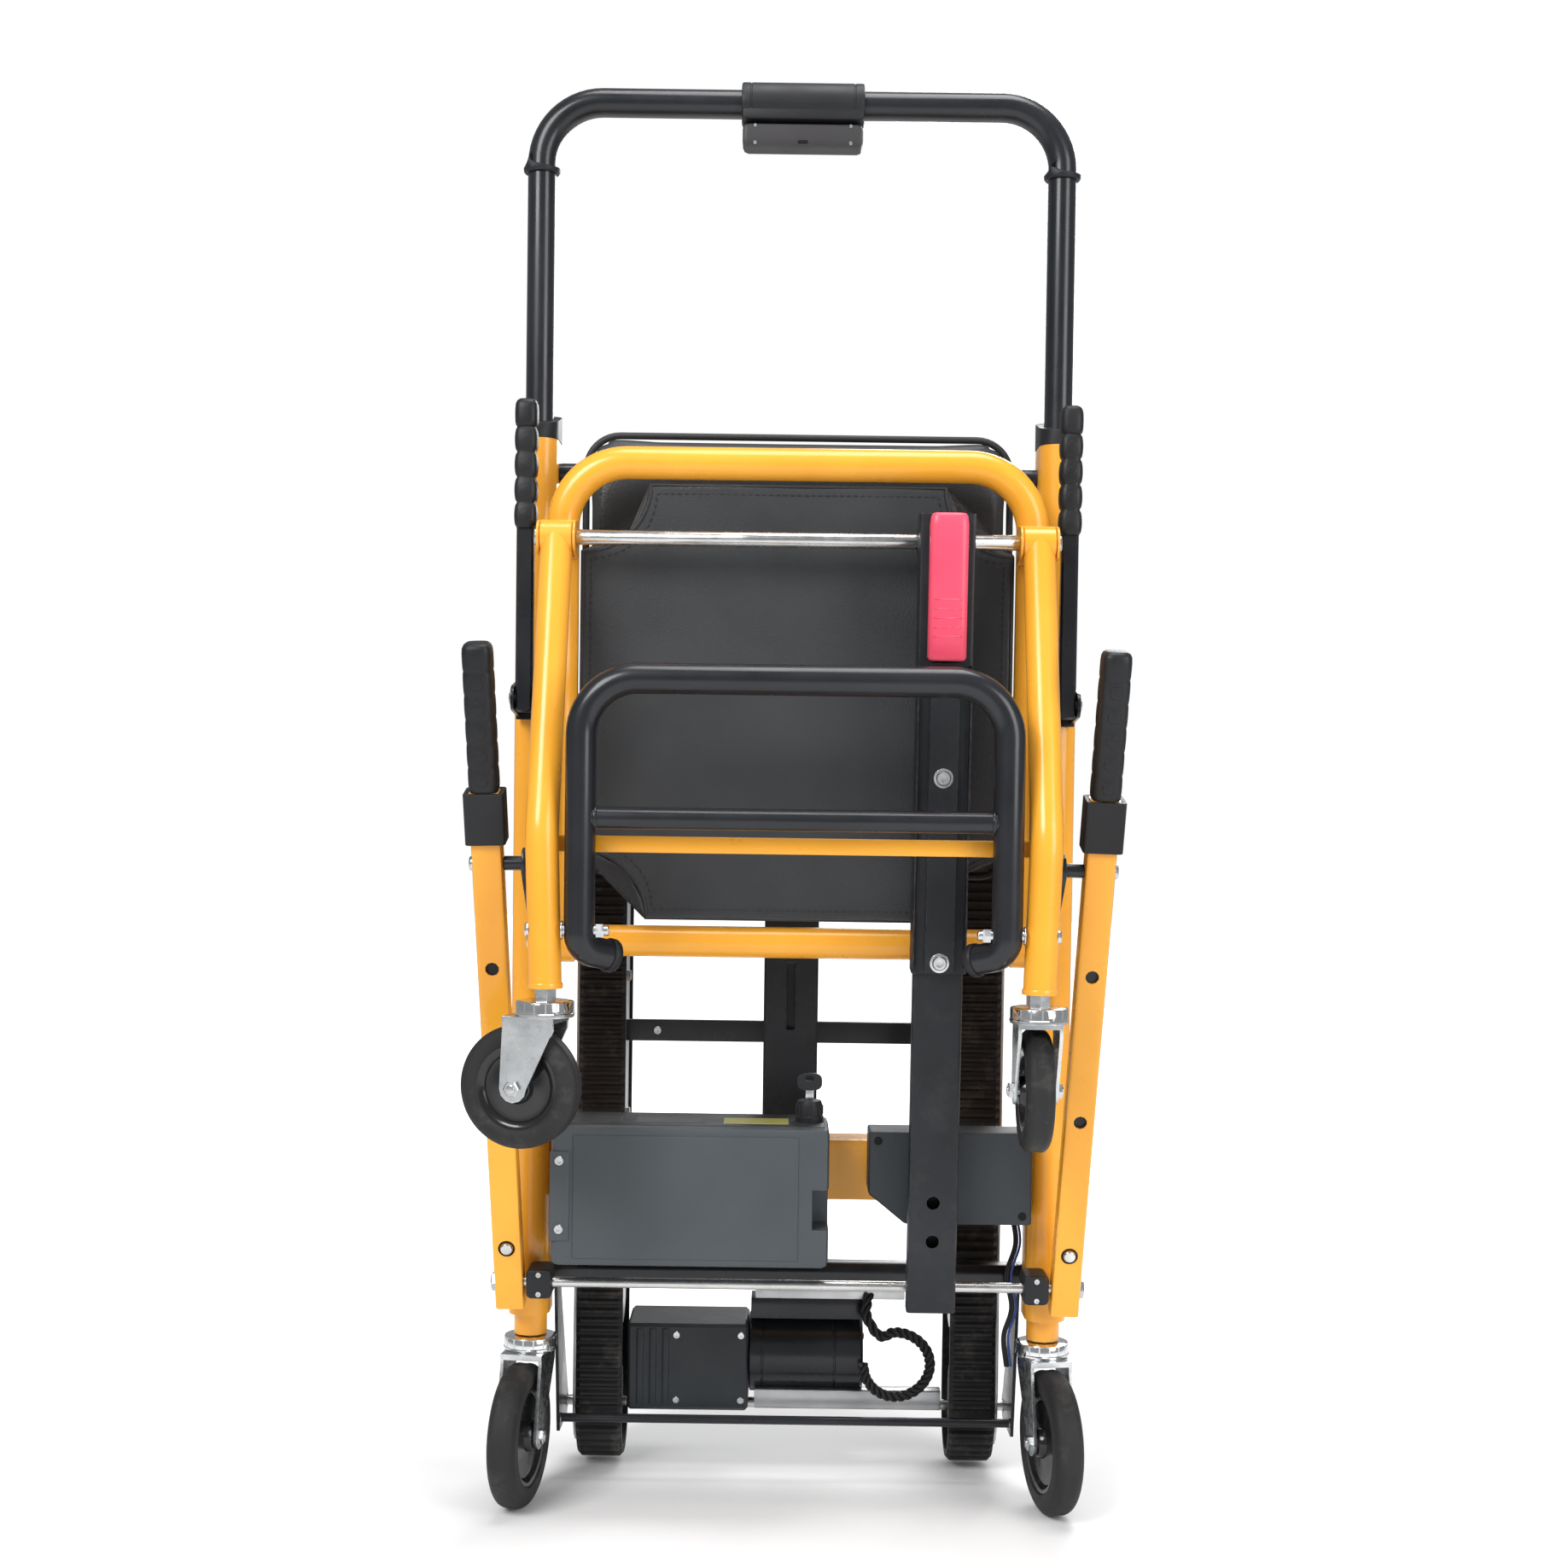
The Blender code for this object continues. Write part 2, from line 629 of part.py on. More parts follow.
def build_seat_sling():
    """A panel between the seat tubes whose four corners are cut away in curves."""
    x, low, high, corner = 0.1850, 0.5230, 0.8970, 0.062
    panel = [(-x + corner, low), (x - corner, low)]
    panel += arc((x, low), corner, 180, 90, 4)[1:-1] + [(x, low + corner), (x, high - corner)]
    panel += arc((x, high), corner, 270, 180, 4)[1:-1] + [(x - corner, high), (-x + corner, high)]
    panel += arc((-x, high), corner, 0, -90, 4)[1:-1] + [(-x, high - corner), (-x, low + corner)]
    panel += arc((-x, low), corner, 90, 0, 4)[1:-1]
    place(plate("sling", [panel], 0.0060, front_plane(-0.0790)), "seat_sling", "vinyl", "seat")


def build_leg_frame():
    pieces, cutters = [], []
    for side, label in SIDES:
        line = [at(side * LEG_X, *LEG_HINGE), at(side * LEG_X, LEG_FOOT_Y, 0.600),
                at(side * LEG_FOOT_X, LEG_FOOT_Y, LEG_FOOT_Z)]
        pieces.append(tube("leg", rounded_path(line, 0.080), LEG_TUBE))
        low, high = sorted((side * 0.1883, side * 0.2157))
        pieces.append(cross_bar("knuckle", low, high, LEG_HINGE, 0.0135, FINE))
        pieces.append(cross_bar("pin", side * 0.190, side * 0.1555, FOOTREST_PIVOT, 0.0045))
        pieces.append(cross_bar("head", side * 0.1568, side * 0.1540, FOOTREST_PIVOT, 0.0060))
        cutters.append(cross_bar("bore", side * 0.17, side * 0.23, LEG_HINGE, 0.0046))
        foot = at(side * LEG_FOOT_X, LEG_FOOT_Y, LEG_FOOT_Z)
        cutters.append(bar("socket", foot - Vector((0, 0, 0.01)), foot + Vector((0, 0, 0.0385)), 0.0068))
    tie = box("tie", at(-0.195, -0.1895, 0.5840), at(0.195, -0.1835, 0.5975))
    place(cut(join(tie, *pieces), *cutters), "leg_frame", "yellow_paint", "legs")


def build_footrest():
    """A bent tube whose two lower ends turn inward below the pins, with a rung across it."""
    depth = FOOTREST_PIVOT[0]
    end = at(-0.1460, depth + 0.020, FOOTREST_ELBOW - 0.0130)
    elbow = at(-FOOTREST_X, depth, FOOTREST_ELBOW - 0.0060)
    top = at(-FOOTREST_X, depth, FOOTREST_TOP)
    lower = rounded_path([end, elbow, top], 0.016, 4)[:-1]
    flip = Matrix.Scale(-1, 4, (1, 0, 0))
    upper = rounded_path([elbow, top, flip @ top, flip @ elbow], FOOTREST_CORNER)[1:-1]
    path = lower + upper + [flip @ point for point in reversed(lower)]
    frame = tube("footrest", path, FOOTREST_TUBE)
    height, radius = FOOTREST_RUNG
    rung = cross_bar("rung", -FOOTREST_X, FOOTREST_X, (depth, height), radius, 12)
    bores = [cross_bar("bore", side * 0.150, side * 0.190, FOOTREST_PIVOT, 0.0051) for side, _ in SIDES]
    place(cut(join(frame, rung), *bores), "footrest_frame", "black_paint", "footrest")


# Lift arms and telescoping brace

def lift_matrix(side):
    """The lift arm's own frame: its pivot at the origin and its length along Z."""
    splay = Matrix.Rotation(math.radians(side * LIFT_SPLAY), 4, "Y")
    lean = Matrix.Rotation(math.radians(LIFT_LEAN), 4, "X")
    return Matrix.Translation(at(side * LIFT_X, *LIFT_PIVOT)) @ splay @ lean


def sleeve(name, outside, inside, start, end, matrix):
    """A straight length of rectangular tube along the matrix's Z."""
    profile = [rounded_rectangle(*outside, 0.003, 2), rounded_rectangle(*inside, 0.0015, 1)]
    return plate(name, profile, end - start, matrix @ Matrix.Translation((0, 0, (start + end) / 2)))


def button_holes(frame, reach, distances):
    """Cutters for the snap-button holes in the front wall of a tube along the matrix's Z."""
    return [bar("hole", frame @ Vector((0, -reach, distance)), frame @ Vector((0, 0, distance)),
                BUTTON_HOLE) for distance in distances]


def build_lift_arms():
    for side, label in SIDES:
        frame = lift_matrix(side)
        arm = sleeve("arm", (0.0250, 0.0200), (0.0208, 0.0158), -0.022, LIFT_TUBE_END, frame)
        cutters = [cross_bar("bore", side * 0.22, side * 0.27, LIFT_PIVOT, 0.0061, FINE)]
        cutters += button_holes(frame, 0.02, (0.160, 0.290))
        place(cut(arm, *cutters), "lift_arm_" + label, "yellow_paint", "lift_frame")
        collar = sleeve("collar", LIFT_COLLAR_OUTSIDE, LIFT_COLLAR_INSIDE, LIFT_COLLAR_START,
                        LIFT_TUBE_END, frame)
        place(collar, "lift_collar_" + label, "black_plastic", "lift_frame")


def grip_ring(grow):
    """The lift grip's outline, swollen all round."""
    width, depth = LIFT_GRIP_SIZE
    return rounded_rectangle(width + 2 * grow, depth + 2 * grow, 0.005, 1)


def build_lift_grips():
    """Ribbed grips on inner tubes that draw out of the lift arms."""
    for side, label in SIDES:
        frame = lift_matrix(side)
        inner = box("inner", (-0.0100, -0.0075, 0.130), (0.0100, 0.0075, LIFT_GRIP_START + 0.02),
                    0.002, 1)
        inner.data.transform(frame)
        sections = []
        for rib in range(LIFT_GRIP_RIBS):
            base = LIFT_GRIP_START + rib * LIFT_GRIP_PITCH
            for rise, grow in ((0.0, 0.0), (0.0035, 0.0018), (0.0155, 0.0018)):
                sections.append((grip_ring(grow), base + rise))
        ribbed = LIFT_GRIP_RIBS * LIFT_GRIP_PITCH
        for rise, grow in ((0.0, 0.0), (0.0040, 0.0025), (0.0190, 0.0025),
                           (LIFT_GRIP_LENGTH - ribbed, -0.002)):
            sections.append((grip_ring(grow), LIFT_GRIP_START + ribbed + rise))
        grip = loft("grip", sections, frame)
        place(join(grip, inner), "lift_grip_" + label, "rubber", "lift_grip_" + label)


def build_lower_rod():
    rod = cross_bar("rod", -0.2520, 0.2520, LIFT_PIVOT, 0.0055, FINE)
    place(rod, "lower_rod", "steel", "lift_frame")


def brace_matrix():
    """The brace's own frame: on the lower rod at the origin, with Z towards the leg hinge."""
    start, end = at(BRACE_X, *LIFT_PIVOT), at(BRACE_X, *LEG_HINGE)
    lean = math.atan2(start.y - end.y, end.z - start.z)
    return Matrix.Translation(start) @ Matrix.Rotation(lean, 4, "X"), (end - start).length


def hinge_lug(name, frame, along, half_width, radius, reach):
    """A rounded lug behind the brace that goes round a hinge rod."""
    outline = arc((0, along), radius, -90, 90, 6) + [(-reach, along + radius), (-reach, along - radius)]
    turn = Matrix(((0, 0, 1, 0), (1, 0, 0, 0), (0, 1, 0, 0), (0, 0, 0, 1)))
    return plate(name, [outline], 2 * half_width, frame @ turn)


def build_brace():
    frame, length = brace_matrix()
    shift = frame @ Matrix.Translation((0, -BRACE_OFFSET, 0))
    width, depth = BRACE_TUBE_SIZE
    inside = (width - 0.004, depth - 0.004)
    lower = sleeve("lower", BRACE_TUBE_SIZE, inside, -0.013, BRACE_TUBE_LENGTH, shift)
    lower = join(lower, hinge_lug("lug", frame, 0, 0.0190, 0.0110, 0.0145))
    cutters = [cross_bar("bore", BRACE_X - 0.04, BRACE_X + 0.04, LIFT_PIVOT, 0.0061, FINE)]
    cutters += button_holes(shift, 0.03, (0.050, 0.084))
    place(cut(lower, *cutters), "brace_tube", "black_paint", "lift_frame")

    start, end = length - 0.360, length + 0.022
    upper = sleeve("upper", BRACE_CHANNEL_SIZE, BRACE_CHANNEL_INSIDE, start, end, shift)
    rib = box("rib", (-0.012, -0.0210, start + 0.002), (0.012, -0.0140, length - 0.100))
    rib.data.transform(shift)
    upper = join(upper, rib, hinge_lug("lug", frame, length, 0.0228, 0.0110, 0.0092))
    rod_bore = cross_bar("rod_bore", BRACE_X - 0.05, BRACE_X + 0.05, LEG_HINGE, 0.0071, FINE)
    place(cut(upper, rod_bore), "brace_channel", "black_paint", "brace")

    sections = []
    for rise, grow in ((-0.098, -0.003), (-0.094, 0.0), (-0.040, -0.002), (0.018, 0.0), (0.022, -0.003)):
        outline = rounded_rectangle(0.0320 + 2 * grow, 0.0200 + 2 * grow, 0.006, 3)
        sections.append((outline, length + rise))
    grip = loft("release", sections, frame @ Matrix.Translation((0, -BRACE_OFFSET - 0.0255, 0)))
    place(grip, "release_grip", "red_plastic", "release")


# Casters

def build_caster(kind, label, stem_at, trail, wheel_radius, wheel_half, neck, stem_radius, turn_degrees):
    """A swivel caster, modelled trailing along Y at x = 0 and then turned and moved."""
    axle = (trail, wheel_radius)
    crown_high = 2 * wheel_radius + CROWN_TOP
    crown_low = crown_high - 0.0050
    cheek_x = wheel_half + 0.0045
    swing = math.copysign(0.008, trail)
    crown = box("crown", at(-cheek_x - 0.0015, swing - 0.022, crown_low),
                at(cheek_x + 0.0015, swing + 0.022, crown_high))
    race = bar("race", at(0, 0, crown_high - 0.001), at(0, 0, crown_high + 0.0115), 0.0235, FINE)
    nut = bar("nut", at(0, 0, crown_high), at(0, 0, crown_high + neck - 0.0003), 0.0095, 6)
    stem = bar("stem", at(0, 0, crown_high), at(0, 0, crown_high + neck + 0.030), stem_radius)
    pieces = [race, nut, stem]
    for x in (-cheek_x, cheek_x):
        outline = [(swing - 0.0215, crown_high - 0.001), (swing - 0.0215, crown_low - 0.006)]
        outline += arc(axle, 0.0115, 180, 360, 6)
        outline += [(swing + 0.0215, crown_low - 0.006), (swing + 0.0215, crown_high - 0.001)]
        pieces.append(plate("cheek", [outline], 0.0030, side_plane(x)))
    pieces.append(cross_bar("axle", -cheek_x - 0.0035, cheek_x + 0.0035, axle, 0.0042))
    fork = join(crown, *pieces)

    r, h = wheel_radius, wheel_half
    rim = r * 0.70
    half = [(0.0050, h + 0.0020), (0.0130, h + 0.0020), (rim - 0.002, h - 0.0035),
            (rim, h - 0.0005), (r * 0.965, h * 0.80), (r, h * 0.30)]
    profile = half + [(radius, -along) for radius, along in reversed(half)]
    wheel = turned("wheel", profile, at(0, *axle), 24, closed=True)

    turn = Matrix.Rotation(math.radians(turn_degrees), 4, "Z")
    base = stem_at - Vector((0, 0, crown_high + neck))
    move = Matrix.Translation(base) @ turn @ Matrix.Translation((0, -BACK_Y, 0))
    fork.data.transform(move)
    wheel.data.transform(move)
    place(fork, kind + "_fork_" + label, "zinc", kind + "_fork_" + label)
    place(wheel, kind + "_wheel_" + label, "rubber", kind + "_wheel_" + label)


def build_casters():
    for side, label in SIDES:
        foot = at(side * LEG_FOOT_X, LEG_FOOT_Y, LEG_FOOT_Z)
        build_caster("front", label, foot, FRONT_TRAIL, FRONT_WHEEL, 0.0120, FRONT_NECK, 0.0060,
                     FRONT_TURN[side])
        stub = at(side * UPRIGHT_X, 0, UPRIGHT_STUB_END)
        build_caster("rear", label, stub, REAR_TRAIL, REAR_WHEEL, 0.0130, REAR_NECK, 0.0070,
                     REAR_TURN[side])


# Tracks and drive

def loop_outline(radius, steps=8):
    """A belt's path about the drive axis and the top idler, as (depth, height)."""
    y, z = DRIVE_AXIS
    return arc((y, z), radius, 180, 360, steps) + arc((y, TRACK_TOP), radius, 0, 180, steps)


def build_track_frame(side):
    """A rail inside the belt and an outer side plate, held together by two spacers."""
    y, z = DRIVE_AXIS
    x = side * TRACK_X
    inside, rail_width = TRACK_RADIUS - TRACK_BAND - 0.0009, TRACK_WIDTH - 0.0060
    rail = arc((y, z + 0.110), inside - 0.0036, 180, 360, 6) + arc((y, TRACK_TOP), inside, 0, 180, 8)
    beam = plate("rail", [rail], rail_width, side_plane(x))
    plate_x = side * (TRACK_X + TRACK_WIDTH / 2 + 0.0022)
    outline = arc((y, z), 0.0360, 180, 360, 8) + arc((y, TRACK_TOP), 0.0330, 0, 180, 8)
    pieces = [plate("outer_plate", [outline], 0.0030, side_plane(plate_x))]
    for height in (TRACK_TOP - 0.010, 0.200):
        pieces.append(cross_bar("spacer", side * (TRACK_X + 0.010), plate_x, (y, height), 0.0150))
    bore = cross_bar("bore", plate_x - side * 0.010, plate_x + side * 0.010, DRIVE_AXIS, 0.0066)
    return cut(join(beam, *pieces), bore)


def build_tracks():
    for side, label in SIDES:
        rings = [loop_outline(TRACK_RADIUS), loop_outline(TRACK_RADIUS - TRACK_BAND)]
        belt = plate("belt", rings, TRACK_WIDTH, side_plane(side * TRACK_X))
        place(belt, "track_belt_" + label, "rubber", "tracks")
        place(build_track_frame(side), "track_frame_" + label, "aluminium", "tracks")
    reach = TRACK_X - TRACK_WIDTH / 2 + 0.0027
    tie = box("tie", at(-reach, 0.090, 0.400), at(reach, 0.096, 0.420))
    place(tie, "track_cross_bar", "black_paint", "tracks")


def build_drive():
    y = DRIVE_AXIS[0]
    shaft = cross_bar("shaft", -0.2120, 0.2120, DRIVE_AXIS, 0.0060)
    half_width = TRACK_WIDTH / 2 - 0.0050
    wheels = []
    for side, _ in SIDES:
        low, high = sorted((side * (TRACK_X - half_width), side * (TRACK_X + half_width)))
        wheels.append(cross_bar("sprocket", low, high, DRIVE_AXIS, 0.0390, FINE))
    place(join(shaft, *wheels), "drive_shaft", "steel", "drive")

    gearbox = box("gearbox", at(-0.1480, y - 0.036, 0.0570), at(-0.0350, y + 0.038, 0.1380), 0.003, 1)
    bore = cross_bar("bore", -0.2, 0.0, DRIVE_AXIS, 0.0070)
    place(cut(gearbox, bore), "gearbox", "grey_case", "tracks")
    motor = cross_bar("motor", -0.0345, 0.0720, (y, 0.1055), 0.0378, FINE)
    place(motor, "motor", "black_paint", "tracks")


def build_track_hanger():
    """A cross tube between the uprights with two arms down to the drive axis, joined by a tie rod."""
    inner = UPRIGHT_X - UPRIGHT_WIDTH / 2 - 0.0003
    tube_at, tube_radius = (0.016, 0.200), 0.0125
    hanger = cross_bar("hanger", -inner, inner, tube_at, tube_radius)
    outline = arc(DRIVE_AXIS, 0.0130, -90, 60, 5) + arc(tube_at, tube_radius, 60, 210, 5)
    outline.append((0.040, 0.0450))
    pieces = [cross_bar("tie", -0.2090, 0.2090, (0.0455, 0.0560), 0.0042)]
    cutters = []
    for side, _ in SIDES:
        x = side * 0.2085
        pieces.append(plate("arm", [outline], 0.0030, side_plane(x)))
        cutters.append(cross_bar("bore", x - side * 0.01, x + side * 0.01, DRIVE_AXIS, 0.0066))
    place(cut(join(hanger, *pieces), *cutters), "track_hanger", "black_paint")


def build_all():
    build_uprights()
    build_handle_collars()
    build_cross_members()
    build_side_plates()
    build_rod_blocks()
    build_battery()
    build_controller()
    build_key_switch()
    build_backrest()
    build_lock_column()
    build_push_handle()
    build_control_housing()
    build_armrests()
    build_seat_frame()
    build_seat_rod()
    build_seat_sling()
    build_leg_frame()
    build_footrest()
    build_lift_arms()
    build_lift_grips()
    build_lower_rod()
    build_brace()
    build_casters()
    build_tracks()
    build_drive()
    build_track_hanger()


build_all()
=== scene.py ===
"""The look of the stair chair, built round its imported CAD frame.

Lengths are in metres in the frame's own axes: -Y is the front, +Z is up, and left is at -X.
Depths named below are Y values in the frame. Every place comes from the frame's joints and boxes.
"""
import json
import math

import bmesh
import bpy
from mathutils import Matrix, Quaternion, Vector


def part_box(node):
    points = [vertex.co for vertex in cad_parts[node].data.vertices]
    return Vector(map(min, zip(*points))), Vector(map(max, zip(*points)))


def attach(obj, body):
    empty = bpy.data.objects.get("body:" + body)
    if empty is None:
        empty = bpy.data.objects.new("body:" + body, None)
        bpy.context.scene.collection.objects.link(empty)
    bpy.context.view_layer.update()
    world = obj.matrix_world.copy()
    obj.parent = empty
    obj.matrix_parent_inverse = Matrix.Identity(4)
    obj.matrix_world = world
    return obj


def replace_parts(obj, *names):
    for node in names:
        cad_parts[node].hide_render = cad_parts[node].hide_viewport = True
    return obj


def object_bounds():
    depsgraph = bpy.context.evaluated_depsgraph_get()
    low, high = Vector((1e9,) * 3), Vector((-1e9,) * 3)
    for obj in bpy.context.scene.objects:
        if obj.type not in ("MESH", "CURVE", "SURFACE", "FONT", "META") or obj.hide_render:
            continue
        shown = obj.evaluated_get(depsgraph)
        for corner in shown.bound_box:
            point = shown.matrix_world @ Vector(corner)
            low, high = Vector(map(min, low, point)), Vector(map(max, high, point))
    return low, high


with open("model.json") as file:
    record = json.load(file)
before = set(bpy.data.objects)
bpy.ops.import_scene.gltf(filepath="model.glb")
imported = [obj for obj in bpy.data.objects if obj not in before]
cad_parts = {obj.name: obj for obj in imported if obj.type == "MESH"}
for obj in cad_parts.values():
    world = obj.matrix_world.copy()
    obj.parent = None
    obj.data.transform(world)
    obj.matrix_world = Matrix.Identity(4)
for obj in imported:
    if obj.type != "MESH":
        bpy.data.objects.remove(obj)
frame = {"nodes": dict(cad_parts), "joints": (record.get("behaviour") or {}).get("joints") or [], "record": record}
cad_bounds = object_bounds()

SIDES = ((-1, "left"), (1, "right"))
NODES = frame["nodes"]
JOINTS = {joint["name"]: joint for joint in frame["joints"]}
BODY_OF = {}
for body_name, members in frame["record"]["behaviour"]["bodies"].items():
    for member in members:
        BODY_OF[member] = body_name


def pivot(joint):
    return Vector(JOINTS[joint]["pos_m"])


def axis_of(joint):
    return Vector(JOINTS[joint]["axis"]).normalized()


def low(node):
    return Vector(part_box(node)[0])


def high(node):
    return Vector(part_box(node)[1])


def centre(node):
    return (low(node) + high(node)) / 2


# Materials

def ramp_between(tree, factor, first, second):
    """A colour between two, by a factor socket."""
    mix = tree.nodes.new("ShaderNodeMix")
    mix.data_type = "RGBA"
    tree.links.new(factor, mix.inputs["Factor"])
    mix.inputs["A"].default_value = (*first, 1.0)
    mix.inputs["B"].default_value = (*second, 1.0)
    return mix.outputs["Result"]


def noise(tree, scale, detail=3.0, stretch=(1, 1, 1), roughness=0.5):
    place = tree.nodes.new("ShaderNodeTexCoord")
    mapping = tree.nodes.new("ShaderNodeMapping")
    mapping.inputs["Scale"].default_value = stretch
    texture = tree.nodes.new("ShaderNodeTexNoise")
    texture.inputs["Scale"].default_value = scale
    texture.inputs["Detail"].default_value = detail
    texture.inputs["Roughness"].default_value = roughness
    tree.links.new(place.outputs["Object"], mapping.inputs["Vector"])
    tree.links.new(mapping.outputs["Vector"], texture.inputs["Vector"])
    return texture.outputs["Fac"]


def cells(tree, scale, feature="F1"):
    place = tree.nodes.new("ShaderNodeTexCoord")
    texture = tree.nodes.new("ShaderNodeTexVoronoi")
    texture.feature = feature
    texture.inputs["Scale"].default_value = scale
    tree.links.new(place.outputs["Object"], texture.inputs["Vector"])
    return texture.outputs["Distance"]


def spread(tree, value, low_in, high_in, low_out, high_out):
    node = tree.nodes.new("ShaderNodeMapRange")
    for name, number in (("From Min", low_in), ("From Max", high_in), ("To Min", low_out),
                         ("To Max", high_out)):
        node.inputs[name].default_value = number
    tree.links.new(value, node.inputs["Value"])
    return node.outputs["Result"]


def bump(tree, height, strength, distance, normal=None):
    node = tree.nodes.new("ShaderNodeBump")
    node.inputs["Strength"].default_value = strength
    node.inputs["Distance"].default_value = distance
    tree.links.new(height, node.inputs["Height"])
    if normal is not None:
        tree.links.new(normal, node.inputs["Normal"])
    return node.outputs["Normal"]


def edge_mask(tree):
    """About one on sharp outward edges, and zero elsewhere."""
    geometry = tree.nodes.new("ShaderNodeNewGeometry")
    rounded = tree.nodes.new("ShaderNodeBevel")
    rounded.inputs["Radius"].default_value = 0.0012
    agree = tree.nodes.new("ShaderNodeVectorMath")
    agree.operation = "DOT_PRODUCT"
    tree.links.new(rounded.outputs["Normal"], agree.inputs[0])
    tree.links.new(geometry.outputs["Normal"], agree.inputs[1])
    return spread(tree, agree.outputs["Value"], 0.97, 0.85, 0.0, 1.0)


def finish(name, dark, light, roughness, metallic=0.0, mottle=9.0, coat=0.0, grain=None, wear=None,
           sheen=0.0, stretch=(1, 1, 1), cell=None, specular=0.3, dust=0.0):
    """A procedural finish: mottled colour, uneven roughness, grain in the bump, and worn edges."""
    material = bpy.data.materials.new(name)
    material.use_nodes = True
    tree = material.node_tree
    shader = tree.nodes["Principled BSDF"]
    cloud = noise(tree, mottle, 4.0)
    colour = ramp_between(tree, spread(tree, cloud, 0.35, 0.68, 0.0, 1.0), dark, light)
    if wear:
        speckle = noise(tree, 160.0, 4.0)
        rubbed = tree.nodes.new("ShaderNodeMath")
        rubbed.operation = "MULTIPLY"
        tree.links.new(edge_mask(tree), rubbed.inputs[0])
        tree.links.new(spread(tree, speckle, 0.45, 0.62, 0.0, 0.55), rubbed.inputs[1])
        mix = tree.nodes.new("ShaderNodeMix")
        mix.data_type = "RGBA"
        tree.links.new(rubbed.outputs[0], mix.inputs["Factor"])
        tree.links.new(colour, mix.inputs["A"])
        mix.inputs["B"].default_value = (*wear, 1.0)
        colour = mix.outputs["Result"]
    if dust:
        settled = spread(tree, noise(tree, 34.0, 6.0, roughness=0.7), 0.52, 0.80, 0.0, dust)
        mix = tree.nodes.new("ShaderNodeMix")
        mix.data_type = "RGBA"
        tree.links.new(settled, mix.inputs["Factor"])
        tree.links.new(colour, mix.inputs["A"])
        mix.inputs["B"].default_value = (0.30, 0.28, 0.25, 1.0)
        colour = mix.outputs["Result"]
    tree.links.new(colour, shader.inputs["Base Color"])
    uneven = spread(tree, noise(tree, mottle * 3.1, 5.0), 0.3, 0.7, max(roughness - 0.06, 0.03),
                    roughness + 0.08)
    tree.links.new(uneven, shader.inputs["Roughness"])
    shader.inputs["Metallic"].default_value = metallic
    shader.inputs["Specular IOR Level"].default_value = specular
    shader.inputs["Coat Weight"].default_value = coat
    shader.inputs["Coat Roughness"].default_value = 0.12
    shader.inputs["Sheen Weight"].default_value = sheen
    normal = None
    if cell:
        scale, strength, distance = cell
        normal = bump(tree, cells(tree, scale), strength, distance)
    if grain:
        scale, strength, distance = grain
        normal = bump(tree, noise(tree, scale, 4.0, stretch), strength, distance, normal)
    if normal is not None:
        tree.links.new(normal, shader.inputs["Normal"])
    return material


YELLOW = finish("yellow_powder_coat", (0.80, 0.345, 0.026), (0.88, 0.395, 0.034), 0.30, coat=0.35,
                grain=(900.0, 0.10, 0.0004), wear=(0.62, 0.50, 0.30))
BLACK_PAINT = finish("black_powder_coat", (0.0075, 0.0085, 0.011), (0.013, 0.0145, 0.018), 0.30, coat=0.25,
                     grain=(1100.0, 0.10, 0.0004), wear=(0.10, 0.10, 0.105))
BLACK_METAL = finish("black_anodised", (0.010, 0.0115, 0.014), (0.018, 0.020, 0.024), 0.42,
                     grain=(600.0, 0.10, 0.0004), stretch=(1, 1, 0.08), wear=(0.14, 0.14, 0.15), dust=0.05)
BLACK_PLASTIC = finish("black_moulded_plastic", (0.009, 0.0095, 0.011), (0.014, 0.015, 0.017), 0.48,
                       cell=(1400.0, 0.15, 0.0003), wear=(0.05, 0.05, 0.055))
FOAM = finish("foam_grip", (0.0085, 0.0095, 0.012), (0.014, 0.0155, 0.019), 0.46, sheen=0.0,
              cell=(2200.0, 0.22, 0.0004), grain=(420.0, 0.14, 0.0005))
RIB_RUBBER = finish("ribbed_rubber", (0.008, 0.0085, 0.0095), (0.014, 0.0145, 0.016), 0.44,
                    grain=(700.0, 0.18, 0.0004), wear=(0.06, 0.06, 0.065))
GREY_CASE = finish("slate_case", (0.052, 0.061, 0.068), (0.064, 0.074, 0.081), 0.52,
                   cell=(1700.0, 0.20, 0.0003), wear=(0.15, 0.16, 0.17))
DARK_CASE = finish("dark_case", (0.022, 0.026, 0.030), (0.030, 0.035, 0.040), 0.46,
                   cell=(1700.0, 0.20, 0.0003), wear=(0.10, 0.10, 0.11))
PLATE_GREY = finish("control_plate_grey", (0.030, 0.028, 0.030), (0.040, 0.038, 0.040), 0.50,
                    grain=(900.0, 0.12, 0.0003), wear=(0.12, 0.12, 0.12))
RED = finish("red_grip_plastic", (0.70, 0.055, 0.110), (0.80, 0.085, 0.150), 0.34, coat=0.15,
             grain=(800.0, 0.10, 0.0004), wear=(0.90, 0.35, 0.40))
STEEL = finish("bright_steel", (0.52, 0.52, 0.51), (0.66, 0.66, 0.65), 0.24, metallic=1.0, mottle=30.0,
               grain=(500.0, 0.06, 0.0003), stretch=(0.05, 1, 1))
ZINC = finish("zinc_plate", (0.48, 0.50, 0.51), (0.66, 0.67, 0.68), 0.27, metallic=1.0, mottle=40.0,
              grain=(260.0, 0.08, 0.0003), wear=(0.80, 0.80, 0.80))
CHROME = finish("chrome", (0.66, 0.67, 0.68), (0.78, 0.78, 0.79), 0.11, metallic=1.0, mottle=30.0,
                grain=(200.0, 0.03, 0.0003))
